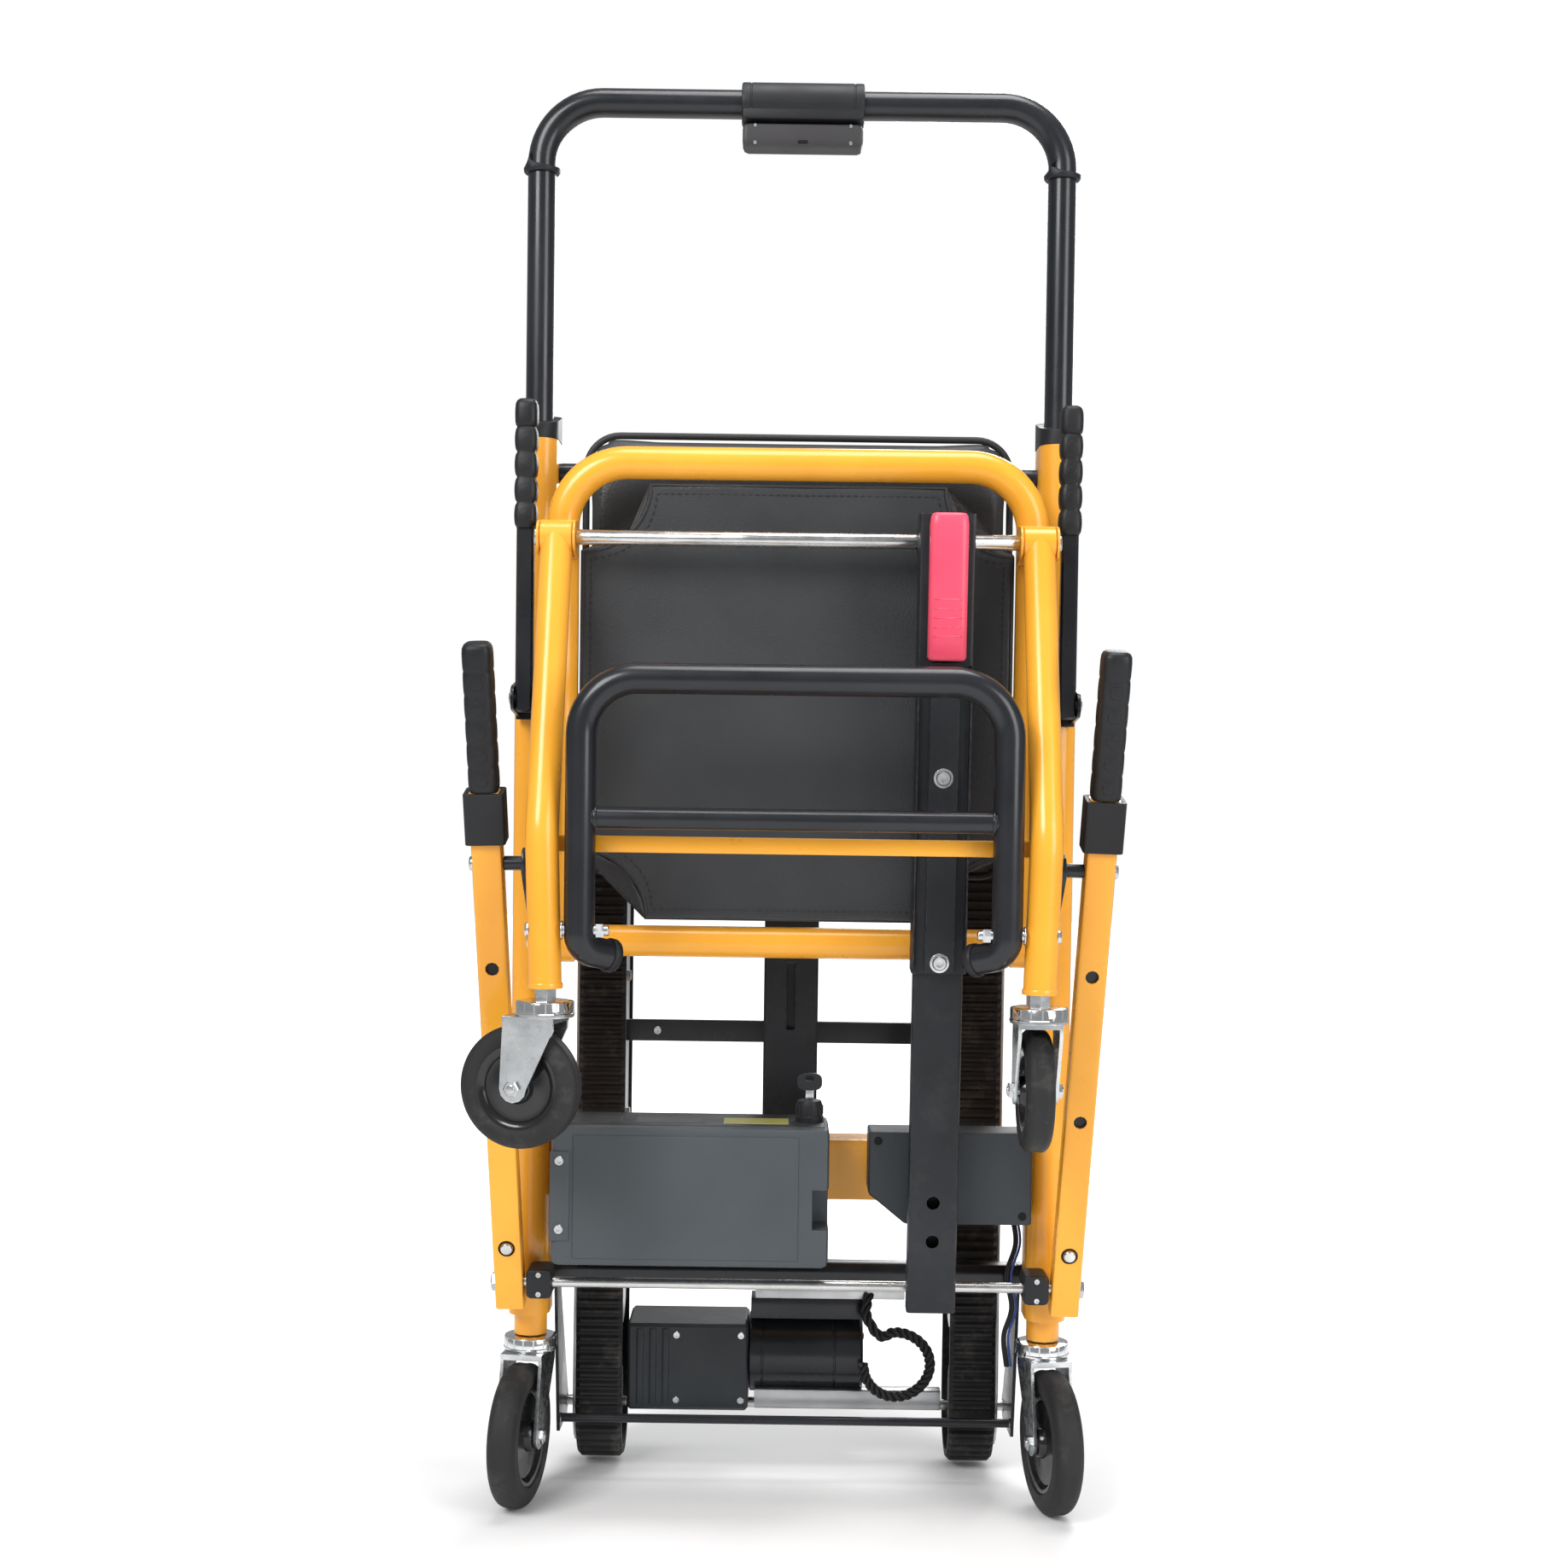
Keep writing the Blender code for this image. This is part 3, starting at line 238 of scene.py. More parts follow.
ALUMINIUM = finish("brushed_aluminium", (0.42, 0.43, 0.44), (0.56, 0.57, 0.58), 0.38, metallic=1.0,
                   mottle=20.0,
                   grain=(700.0, 0.14, 0.0003), stretch=(1, 1, 0.04), wear=(0.80, 0.80, 0.80))
TYRE = finish("tyre_rubber", (0.0115, 0.0115, 0.012), (0.021, 0.021, 0.0215), 0.62,
              grain=(500.0, 0.20, 0.0005), dust=0.16)
HUB = finish("gloss_hub", (0.008, 0.008, 0.009), (0.014, 0.014, 0.015), 0.20, coat=0.4,
             grain=(300.0, 0.05, 0.0003), wear=(0.06, 0.06, 0.06))
BELT = finish("track_belt_rubber", (0.010, 0.010, 0.0105), (0.020, 0.020, 0.0205), 0.66,
              grain=(600.0, 0.25, 0.0006), dust=0.22)
STICKER = finish("blank_label_olive", (0.28, 0.27, 0.07), (0.33, 0.31, 0.09), 0.40,
                 grain=(300.0, 0.05, 0.0003))
STICKER_GREY = finish("blank_label_grey", (0.035, 0.036, 0.037), (0.047, 0.048, 0.049), 0.35,
                      grain=(300.0, 0.05, 0.0003))
# Painted shade: a near-black finish for discs, a ring and a strip that stand in for the shade inside holes, a slot and
# a gap.
PAINTED_HOLE_SHADE = finish("painted_shade_in_holes", (0.002, 0.002, 0.002), (0.004, 0.004, 0.004), 0.80)


def vinyl_material(name, dark, light, roughness):
    """Coated fabric: a leather grain of small cells over a soft mottle, with a faint sheen."""
    material = finish(name, dark, light, roughness, mottle=5.0, sheen=0.12, specular=0.45,
                      cell=(620.0, 0.30, 0.0006), grain=(1500.0, 0.12, 0.0003))
    return material


VINYL = vinyl_material("seat_vinyl", (0.020, 0.0215, 0.0235), (0.032, 0.034, 0.0365), 0.43)
VINYL_EDGE = vinyl_material("vinyl_binding", (0.009, 0.0095, 0.0105), (0.014, 0.015, 0.0165), 0.50)
THREAD = finish("thread", (0.020, 0.020, 0.022), (0.034, 0.034, 0.036), 0.60)
CABLE = finish("cable_sleeve", (0.007, 0.007, 0.008), (0.016, 0.016, 0.017), 0.50,
               cell=(900.0, 0.5, 0.0006))
WIRE_BLUE = finish("blue_wire", (0.02, 0.05, 0.24), (0.03, 0.08, 0.30), 0.40)


# Modelling helpers

def piece(name, mesh, material, body, smooth=40.0):
    """Show a mesh as a piece of the object that rides on a body."""
    obj = bpy.data.objects.new(name, mesh)
    bpy.context.scene.collection.objects.link(obj)
    mesh.materials.clear()
    mesh.materials.append(material)
    mesh.shade_smooth()
    if smooth:
        mesh.set_sharp_from_angle(angle=math.radians(smooth))
    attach(obj, body)
    return obj


def mesh_from(work, name):
    mesh = bpy.data.meshes.new(name)
    work.to_mesh(mesh)
    work.free()
    return mesh


def soften(obj, width, segments=3, limit=50.0):
    """Round an object's edges with a bevel that keeps its flat faces flat."""
    weld = obj.modifiers.new("weld", "WELD")
    weld.merge_threshold = 0.00001
    if width:
        rounding = obj.modifiers.new("soft_edges", "BEVEL")
        rounding.width = width
        rounding.segments = segments
        rounding.limit_method = "ANGLE"
        rounding.angle_limit = math.radians(limit)
        rounding.use_clamp_overlap = True
    split = obj.modifiers.new("crisp_edges", "EDGE_SPLIT")
    split.split_angle = math.radians(38)
    split.use_edge_sharp = False
    obj.modifiers.new("even_shading", "WEIGHTED_NORMAL")
    return obj


def dress(node, material, width=0.0008, segments=2, limit=50.0):
    """Give a CAD node that stays its material and softly rounded edges."""
    obj = NODES[node]
    obj.data.materials.clear()
    obj.data.materials.append(material)
    for attribute in ("custom_normal", "sharp_edge", "sharp_face"):
        if attribute in obj.data.attributes:
            obj.data.attributes.remove(obj.data.attributes[attribute])
    obj.data.shade_smooth()
    soften(obj, width, segments, limit)
    return obj


def rounded_path(points, corner, steps=14):
    """The points of a bent line, with every inner corner turned into an arc."""
    path = [Vector(points[0])]
    for before, here, after in zip(points, points[1:], points[2:]):
        back = (Vector(before) - Vector(here)).normalized()
        ahead = (Vector(after) - Vector(here)).normalized()
        half = back.angle(ahead) / 2
        middle = Vector(here) + (back + ahead).normalized() * corner / math.sin(half)
        start = Vector(here) + back * corner / math.tan(half) - middle
        turn_axis = back.cross(ahead)
        sweep = math.pi - 2 * half
        for step in range(steps + 1):
            path.append(middle + Quaternion(turn_axis, -sweep * step / steps) @ start)
    path.append(Vector(points[-1]))
    return path


def sweep_mesh(name, path, radii, sides=32, caps=True):
    """A round section swept along a path; radii is one number or one for each point."""
    if not hasattr(radii, "__len__"):
        radii = [radii] * len(path)
    work = bmesh.new()
    rings = []
    tangent = (path[1] - path[0]).normalized()
    side = tangent.orthogonal().normalized()
    for index, point in enumerate(path):
        ahead = path[min(index + 1, len(path) - 1)] - point
        behind = point - path[max(index - 1, 0)]
        heading = (ahead.normalized() + behind.normalized()).normalized()
        turn = tangent.rotation_difference(heading)
        side = (turn @ side).normalized()
        tangent = heading
        other = tangent.cross(side)
        ring = []
        for step in range(sides):
            angle = 2 * math.pi * step / sides
            ring.append(work.verts.new(point + radii[index] * (math.cos(angle) * side + math.sin(angle) * other)))
        rings.append(ring)
    for lower, upper in zip(rings, rings[1:]):
        for step in range(sides):
            after = (step + 1) % sides
            work.faces.new((lower[step], lower[after], upper[after], upper[step]))
    if caps:
        work.faces.new(list(reversed(rings[0])))
        work.faces.new(rings[-1])
    bmesh.ops.recalc_face_normals(work, faces=work.faces)
    return mesh_from(work, name)


def tube(name, points, radius, material, body, corner=0.0, sides=32, end_round=0.0):
    """A bent round bar whose ends are eased by a small round."""
    path = rounded_path(points, corner) if corner else [Vector(p) for p in points]
    radii = [radius] * len(path)
    if end_round:
        first = (path[1] - path[0]).normalized()
        last = (path[-1] - path[-2]).normalized()
        head, tail, head_radii, tail_radii = [], [], [], []
        for step in range(4):
            angle = math.pi / 2 * step / 4
            inset = end_round * (1 - math.sin(angle))
            shrink = radius - end_round * (1 - math.cos(math.pi / 2 - angle))
            head.append(path[0] + first * inset)
            head_radii.append(shrink)
            tail.insert(0, path[-1] - last * inset)
            tail_radii.insert(0, shrink)
        head.reverse()
        head_radii.reverse()
        tail.reverse()
        tail_radii.reverse()
        path = head + path[1:-1] + tail
        radii = head_radii + radii[1:-1] + tail_radii
    return piece(name, sweep_mesh(name, path, radii, sides), material, body)


def turned_mesh(name, profile, start, direction, steps=48):
    """A closed turned shape: the profile's points are (radius, distance along the direction)."""
    turn = Vector(direction).to_track_quat("Z", "Y").to_matrix().to_4x4()
    place = Matrix.Translation(start) @ turn
    work = bmesh.new()
    rings = []
    for radius, along in profile:
        if radius < 1e-7:
            rings.append([work.verts.new(place @ Vector((0, 0, along)))])
            continue
        ring = []
        for step in range(steps):
            angle = 2 * math.pi * step / steps
            ring.append(work.verts.new(place @ Vector((radius * math.cos(angle), radius * math.sin(angle),
                                            along))))
        rings.append(ring)
    closed = len(rings[0]) > 1 and len(rings[-1]) > 1
    pairs = list(zip(rings, rings[1:]))
    if closed:
        pairs.append((rings[-1], rings[0]))
    for one, two in pairs:
        for step in range(steps):
            after = (step + 1) % steps
            a, b = one[step % len(one)], one[after % len(one)]
            c, d = two[after % len(two)], two[step % len(two)]
            corners = []
            for vertex in (a, b, c, d):
                if vertex not in corners:
                    corners.append(vertex)
            if len(corners) > 2:
                work.faces.new(corners)
    bmesh.ops.recalc_face_normals(work, faces=work.faces)
    return mesh_from(work, name)


def turned(name, profile, start, direction, material, body, steps=48, smooth=40.0):
    return piece(name, turned_mesh(name, profile, start, direction, steps), material, body, smooth)


def rounded_disc(radius, thickness, ease):
    """The profile of a disc with eased rims, from one face's centre to the other's."""
    profile = [(0.0, 0.0), (radius - ease, 0.0)]
    for step in range(1, 4):
        angle = math.pi / 2 * step / 3
        profile.append((radius - ease + ease * math.sin(angle), ease - ease * math.cos(angle)))
    for step in range(0, 4):
        angle = math.pi / 2 * step / 3
        profile.append((radius - ease + ease * math.cos(angle), thickness - ease + ease * math.sin(angle)))
    profile.append((0.0, thickness))
    return profile


def hex_head(name, start, direction, radius, height, material, body):
    """A bolt head: a chamfered hexagon with a small washer face."""
    profile = [(0.0, 0.0), (radius, 0.0), (radius, height * 0.78), (radius * 0.86, height), (0.0, height)]
    return turned(name, profile, start, direction, material, body, 6, smooth=20.0)


def socket_screw(name, start, direction, radius, height, material, body):
    """A round screw head with a hexagonal socket sunk in it."""
    r, h = radius, height
    profile = [(0.0, 0.0), (r, 0.0), (r, h * 0.55), (r * 0.84, h), (r * 0.50, h), (r * 0.46, h * 0.35),
               (0.0, h * 0.30)]
    return turned(name, profile, start, direction, material, body, 24, smooth=30.0)


def superellipse(width, depth, power, count):
    points = []
    for step in range(count):
        angle = 2 * math.pi * step / count
        c, s = math.cos(angle), math.sin(angle)
        x = math.copysign(abs(c) ** (2 / power), c) * width / 2
        y = math.copysign(abs(s) ** (2 / power), s) * depth / 2
        points.append((x, y))
    return points


def loft_mesh(name, sections, place):
    """A solid through sections, each an outline and its height."""
    work = bmesh.new()
    rings = []
    for outline, height in sections:
        rings.append([work.verts.new(place @ Vector((x, y, height))) for x, y in outline])
    count = len(rings[0])
    for lower, upper in zip(rings, rings[1:]):
        for step in range(count):
            after = (step + 1) % count
            work.faces.new((lower[step], lower[after], upper[after], upper[step]))
    work.faces.new(list(reversed(rings[0])))
    work.faces.new(rings[-1])
    bmesh.ops.recalc_face_normals(work, faces=work.faces)
    return mesh_from(work, name)


def block(name, corner_low, corner_high, material, body, width=0.001, segments=3):
    """A box between two corners with rounded edges."""
    corner_low, corner_high = Vector(corner_low), Vector(corner_high)
    work = bmesh.new()
    bmesh.ops.create_cube(work, size=1.0)
    bmesh.ops.scale(work, vec=corner_high - corner_low, verts=work.verts)
    bmesh.ops.translate(work, vec=(corner_low + corner_high) / 2, verts=work.verts)
    bmesh.ops.bevel(work, geom=list(work.edges), offset=width, segments=segments, profile=0.5,
                    affect="EDGES")
    obj = piece(name, mesh_from(work, name), material, body)
    return obj


def flat_mesh(name, outline, thickness, place):
    """An outline given thickness along the place matrix's Z."""
    half = thickness / 2
    return loft_mesh(name, [(outline, -half), (outline, half)], place)


def side_plane(x):
    """Puts an outline of (depth, height) in the vertical plane at x."""
    return Matrix(((0, 0, 1, x), (1, 0, 0, 0), (0, 1, 0, 0), (0, 0, 0, 1)))


def arc(middle, radius, start, end, steps):
    points = []
    for step in range(steps + 1):
        angle = math.radians(start + (end - start) * step / steps)
        points.append((middle[0] + radius * math.cos(angle), middle[1] + radius * math.sin(angle)))
    return points


UP = Vector((0, 0, 1))
FRONT = Vector((0, -1, 0))
BACK = Vector((0, 1, 0))
RIGHT = Vector((1, 0, 0))

seat_pivot = pivot("seat_fold")
leg_hinge = pivot("leg_fold")
lift_pivot = pivot("lift_frame_fold")
foot_pivot = pivot("footrest_fold")
drive_axis = pivot("track_fold")
upright_y = centre("upright_left").y
upright_x = centre("upright_right").x


def across(x, point):
    """A point at x on a hinge line that runs along X."""
    return Vector((x, point.y, point.z))


# Back frame

def build_back_frame():
    for side, label in SIDES:
        dress("upright_" + label, YELLOW, 0.0)
        dress("handle_collar_" + label, BLACK_PLASTIC, 0.0015, 3)
        dress("side_plate_" + label, BLACK_PAINT, 0.0010)
        dress("rod_block_" + label, BLACK_PLASTIC, 0.0010)
        dress("armrest_bracket_" + label, BLACK_PAINT, 0.0006)
    dress("lower_beam", YELLOW, 0.0)
    dress("track_lock_column", BLACK_METAL, 0.0012)
    dress("track_hanger", BLACK_PAINT, 0.0005)

    reach = high("seat_cross_tube").x
    radius = (high("seat_cross_tube").z - low("seat_cross_tube").z) / 2
    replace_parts(tube("seat_cross_bar", [across(-reach, seat_pivot), across(reach, seat_pivot)], radius,
                     YELLOW,
                     "back_frame"), "seat_cross_tube")
    bar = centre("backrest_bar")
    reach = high("backrest_bar").x
    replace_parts(tube("backrest_top_bar", [across(-reach, bar), across(reach, bar)], 0.0089, BLACK_PAINT,
                     "back_frame"), "backrest_bar")
    for side, label in SIDES:
        outer = Vector((side * 0.2236, seat_pivot.y, seat_pivot.z))
        socket_screw("pivot_bolt_" + label, outer, Vector((side, 0, 0)), 0.0085, 0.0045, ZINC, "back_frame")
        inner = centre("rod_block_" + label)
        for offset in (-0.006, 0.006):
            start = Vector((inner.x, low("rod_block_" + label).y, inner.z + offset * 1.4))
            socket_screw("block_screw_%s_%d" % (label, offset > 0), start + FRONT * -0.0005, FRONT, 0.0026,
                         0.0016, ZINC, "back_frame")
        for height in (0.300, 0.520, 0.760):
            start = Vector((side * upright_x + side * 0.0002, high("upright_left").y - 0.0006, height))
            socket_screw("upright_screw_%s_%d" % (label, height * 100), start, BACK, 0.0042, 0.0022, ZINC,
                         "back_frame")


# Casters

def build_caster(kind, label, wheel_radius):
    fork, wheel = kind + "_fork_" + label, kind + "_wheel_" + label
    spin = axis_of(kind + "_wheel_%s_spin" % label)
    hub_centre = pivot(kind + "_wheel_%s_spin" % label)
    swivel = pivot(kind + "_caster_%s_swivel" % label)
    dress(fork, ZINC, 0.0010, 2)
    half = 0.0118 if kind == "front" else 0.0128
    r = wheel_radius
    rim = r * 0.70

    tyre = [(rim - 0.0010, half - 0.0022), (rim + 0.0012, half - 0.0002)]
    shoulder = r - 0.0095
    for step in range(9):
        angle = math.pi / 2 * step / 8
        tyre.append((shoulder + 0.0095 * math.sin(angle), 0.0042 + (half - 0.0042) * math.cos(angle)))
    tyre += [(r - 0.0004, 0.0018), (r - 0.0003, 0.0)]
    profile = tyre + [(radius, -along) for radius, along in reversed(tyre[:-1])]
    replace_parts(turned("tyre_%s_%s" % (kind, label), profile, hub_centre, spin, TYRE, wheel, 96),
                wheel)

    face = [(0.0052, half + 0.0015), (0.0115, half + 0.0015), (0.0128, half + 0.0002),
            (0.0140, half - 0.0045),
            (rim * 0.55, half - 0.0060), (rim - 0.0075, half - 0.0056), (rim - 0.0050, half - 0.0030),
            (rim - 0.0022, half - 0.0016), (rim + 0.0004, half - 0.0018)]
    profile = face + [(radius, -along) for radius, along in reversed(face)]
    turned("hub_%s_%s" % (kind, label), profile, hub_centre, spin, HUB, wheel, 64)
    race_low = hub_centre.z + r + 0.0082
    ring = [(0.0, 0.0), (0.0232, 0.0), (0.0240, 0.0006), (0.0240, 0.0020), (0.0234, 0.0026),
            (0.0234, 0.0104),
            (0.0228, 0.0114), (0.0205, 0.0120), (0.0120, 0.0124), (0.0, 0.0126)]
    base = Vector((swivel.x, swivel.y, race_low))
    turned("race_%s_%s" % (kind, label), ring, base, UP, CHROME, fork, 64)
    bolt_out = half + 0.0061
    for way in (-1, 1):
        start = hub_centre + spin * way * bolt_out
        hex_head("axle_nut_%s_%s_%d" % (kind, label, way > 0), start, spin * way, 0.0068, 0.0042, ZINC,
                 fork)
        turned("axle_end_%s_%s_%d" % (kind, label, way > 0), rounded_disc(0.0036, 0.0052, 0.0008), start,
               spin * way, STEEL, fork, 24)


def build_casters():
    for _, label in SIDES:
        build_caster("front", label, 0.050)
        build_caster("rear", label, 0.0625)


# Push handle

def build_handle():
    top = centre("control_housing").z
    foot = low("handle_tube").z
    y = upright_y
    line = [(-upright_x, y, foot), (-upright_x, y, top), (upright_x, y, top), (upright_x, y, foot)]
    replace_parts(tube("handle_bar", line, 0.0124, BLACK_PAINT, "push_handle", corner=0.054,
                     sides=40), "handle_tube")
    for side, label in SIDES:
        grip_end = low("handle_grip_" + label).z
        inner = 0.0545 * side
        points = [Vector((side * upright_x, y, grip_end)), Vector((side * upright_x, y, top)),
                  Vector((inner, y, top))]
        path = rounded_path(points, 0.054, 20)
        start, end = path[0], path[-1]
        path = [start + UP * step for step in (0.0, 0.0012, 0.004, 0.010)] + path[1:-1]
        path += [end + Vector((side * step, 0, 0)) for step in (0.004, 0.0012, 0.0)]
        radii = [0.0150, 0.0160, 0.0163, 0.0162] + [0.0161] * (len(path) - 7) + [0.0161, 0.0159, 0.0150]
        mesh = sweep_mesh("grip", path, radii, 48)
        grip = piece("foam_grip_" + label, mesh, FOAM, "push_handle")
        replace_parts(grip, "handle_grip_" + label)

    half = high("control_housing").x
    barrel = [(0.0, -half), (0.0168, -half), (0.0184, -half + 0.0006), (0.0188, -half + 0.0020),
              (0.0188, -half + 0.0075), (0.0183, -half + 0.0080), (0.0183, -half + 0.0088),
              (0.0188, -half + 0.0093)]
    profile = barrel + [(radius, -along) for radius, along in reversed(barrel)]
    housing = turned("housing_barrel", profile, (0, y, top), RIGHT, BLACK_PLASTIC, "push_handle", 72)
    skirt_low = top - 0.0168
    block("housing_skirt", (-half + 0.0004, y - 0.0168, skirt_low),
          (half - 0.0004, y + 0.0168, top - 0.004),
          BLACK_PLASTIC, "push_handle", 0.0022, 3)
    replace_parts(housing, "control_housing")
    dress("control_plate", PLATE_GREY, 0.0010, 3)
    dress("control_rocker", RED, 0.0006)
    plate_front = low("control_plate").y
    plate_low = low("control_plate").z
    for x in (-half + 0.012, half - 0.012):
        for height in (plate_low + 0.0030, plate_low + 0.0178):
            socket_screw("plate_screw_%d_%d" % (x * 1000 + 100, height * 10000),
                         (x, plate_front + 0.0004, height),
                         FRONT, 0.0017, 0.0008, ZINC, "push_handle")
    # Painted shade: a dark strip on the plate stands in for the shade inside its slot.
    block("plate_slot_shade", (-0.0045, plate_front - 0.0001, plate_low + 0.0025), (0.0045, plate_front + 0.002,
          plate_low + 0.0060), PAINTED_HOLE_SHADE, "push_handle", 0.0008, 2)
    for row in range(3):
        z = centre("control_rocker").z - 0.003 + row * 0.003
        y_back = high("control_rocker").y
        block("rocker_rib_%d" % row, (-0.010, y_back - 0.0006, z - 0.0005),
              (0.010, y_back + 0.0003, z + 0.0005),
              RED, "rocker", 0.0003, 2)


# Ribbed grips

def grip_sections(start, length, width, depth, ribs, dip, head=0.0):
    """Sections of a moulded grip: rounded ribs with narrow valleys, and a fuller head."""
    sections = []
    pitch = (length - head) / ribs
    steps = 8
    for rib in range(ribs):
        for step in range(steps):
            t = step / steps
            swell = abs(math.sin(math.pi * t)) ** 0.45
            shrink = dip * (1 - swell)
            outline = superellipse(width - 2 * shrink, depth - 2 * shrink, 3.6, 32)
            sections.append((outline, start + (rib + t) * pitch))
    base = start + ribs * pitch
    for t in (0.0, 0.06, 0.16, 0.35, 0.60, 0.80, 0.92, 0.985, 1.0):
        swell = math.sqrt(max(0.0, 1 - (2 * t - 1) ** 4)) if head else math.sqrt(max(0.0, 1 - t ** 3))
        shrink = dip * (1 - swell) if t < 0.5 else 0.0055 * (1 - swell)
        outline = superellipse(width - 2 * shrink, depth - 2 * shrink, 3.2, 32)
        sections.append((outline, base + t * (head or 0.006)))
    return sections


def build_armrests():
    for _, label in SIDES:
        body = "armrest_" + label
        dress("armrest_bar_" + label, BLACK_PAINT, 0.0008)
        node = "armrest_grip_" + label
        middle, bottom, top = centre(node), low(node).z, high(node).z
        sections = grip_sections(bottom, top - bottom - 0.0002, 0.0198, 0.0216, 4, 0.0022, 0.024)
        mesh = loft_mesh("grip", sections, Matrix.Translation((middle.x, middle.y, 0)))
        grip = piece("rubber_arm_grip_" + label, mesh, RIB_RUBBER, body, 60.0)
        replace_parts(grip, node)
        for count in range(4):
            spot = Vector((middle.x, low(node).y + 0.0010, bottom + 0.0105 + count * 0.0215))
            turned("arm_grip_stud_%s_%d" % (label, count), rounded_disc(0.0040, 0.0008, 0.0004), spot,
                   FRONT,
                   RIB_RUBBER, body, 24)
        pin = pivot("armrest_%s_fold" % label)
        for way in (-1, 1):
            start = Vector((pin.x + way * 0.0106, pin.y, pin.z))
            socket_screw("arm_bolt_%s_%d" % (label, way > 0), start, Vector((way, 0, 0)), 0.0052, 0.0023,
                         ZINC, "back_frame")


def arm_frame(side, label):
    """The lift arm's own axes: its pivot at the origin and Z along its length."""
    along = axis_of("lift_grip_%s_slide" % label)
    x = (RIGHT - along * RIGHT.dot(along)).normalized()
    y = along.cross(x)
    turn = Matrix((x, y, along)).transposed().to_4x4()
    return Matrix.Translation(across(side * 0.242, lift_pivot)) @ turn


def build_lift_arms():
    for side, label in SIDES:
        dress("lift_arm_" + label, YELLOW, 0.0006)
        dress("lift_collar_" + label, BLACK_PLASTIC, 0.0016, 3)
        place = arm_frame(side, label)
        node = "lift_grip_" + label
        sections = grip_sections(0.4418, 0.1212, 0.0248, 0.0256, 5, 0.0006, 0.0225)
        grip = piece("rubber_lift_grip_" + label, loft_mesh("grip", sections, place), RIB_RUBBER,
                     node, 60.0)
        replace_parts(grip, node)
        work = bmesh.new()
        bmesh.ops.create_cube(work, size=1.0)
        bmesh.ops.scale(work, vec=(0.0196, 0.0146, 0.315), verts=work.verts)
        bmesh.ops.translate(work, vec=(0, 0, 0.130 + 0.315 / 2), verts=work.verts)
        bmesh.ops.bevel(work, geom=list(work.edges), offset=0.0022, segments=3, profile=0.5, affect="EDGES")
        bmesh.ops.transform(work, matrix=place, verts=work.verts)
        piece("inner_tube_" + label, mesh_from(work, "inner"), BLACK_METAL, node)
        turn = place.to_3x3()
        front = turn @ FRONT
        for count in range(5):
            spot = place @ Vector((0, -0.0122, 0.4418 + 0.0098 + count * 0.01974))
            turned("lift_grip_stud_%s_%d" % (label, count), rounded_disc(0.0050, 0.0011, 0.0005), spot,
                   front,
                   RIB_RUBBER, node, 24)
        button = place @ Vector((0, -0.0098, 0.036))
        turned("snap_button_" + label, rounded_disc(0.0052, 0.0030, 0.0014), button, front, STEEL,
               "lift_frame", 32)
        # Painted shade: a dark ring round the snap button stands in for the shade in the gap round it.
        turned("snap_gap_shade_" + label, [(0.0056, 0), (0.0072, 0), (0.0072, 0.0006), (0.0056, 0.0006)],
               button - front * -0.0001, front, PAINTED_HOLE_SHADE, "lift_frame", 32)
        outer = across(side * 0.2530, lift_pivot)
        hex_head("arm_pivot_nut_" + label, outer, Vector((side, 0, 0)), 0.0085, 0.0050, ZINC, "lift_frame")
        head_at = place @ Vector((side * 0.0124, 0, 0.379))
        socket_screw("arm_bolt_%s" % ("l" if side < 0 else "r"), head_at, turn @ Vector((side, 0, 0)),
                     0.0062, 0.0030,
                     ZINC, "lift_frame")


# Seat frame, legs and footrest

def weld_bead(name, start, direction, radius, material, body):
    """A thin ring of weld where one tube meets another."""
    profile = []
    for step in range(8):
        angle = 2 * math.pi * step / 8
        profile.append((radius + 0.0012 * math.cos(angle), 0.0014 * math.sin(angle)))
    return turned(name, profile, start, direction, material, body, 40)


def clevis_ear(name, x, thickness, material):
    y, z = leg_hinge.y, leg_hinge.z
    outline = arc((y, z), 0.0140, 100, 260, 14) + [(y + 0.0205, z - 0.0166), (y + 0.0205, z + 0.0164)]
    mesh = flat_mesh(name, outline, thickness, side_plane(x))
    ear = piece(name, mesh, material, "seat")
    soften(ear, 0.0006, 2)
    return ear


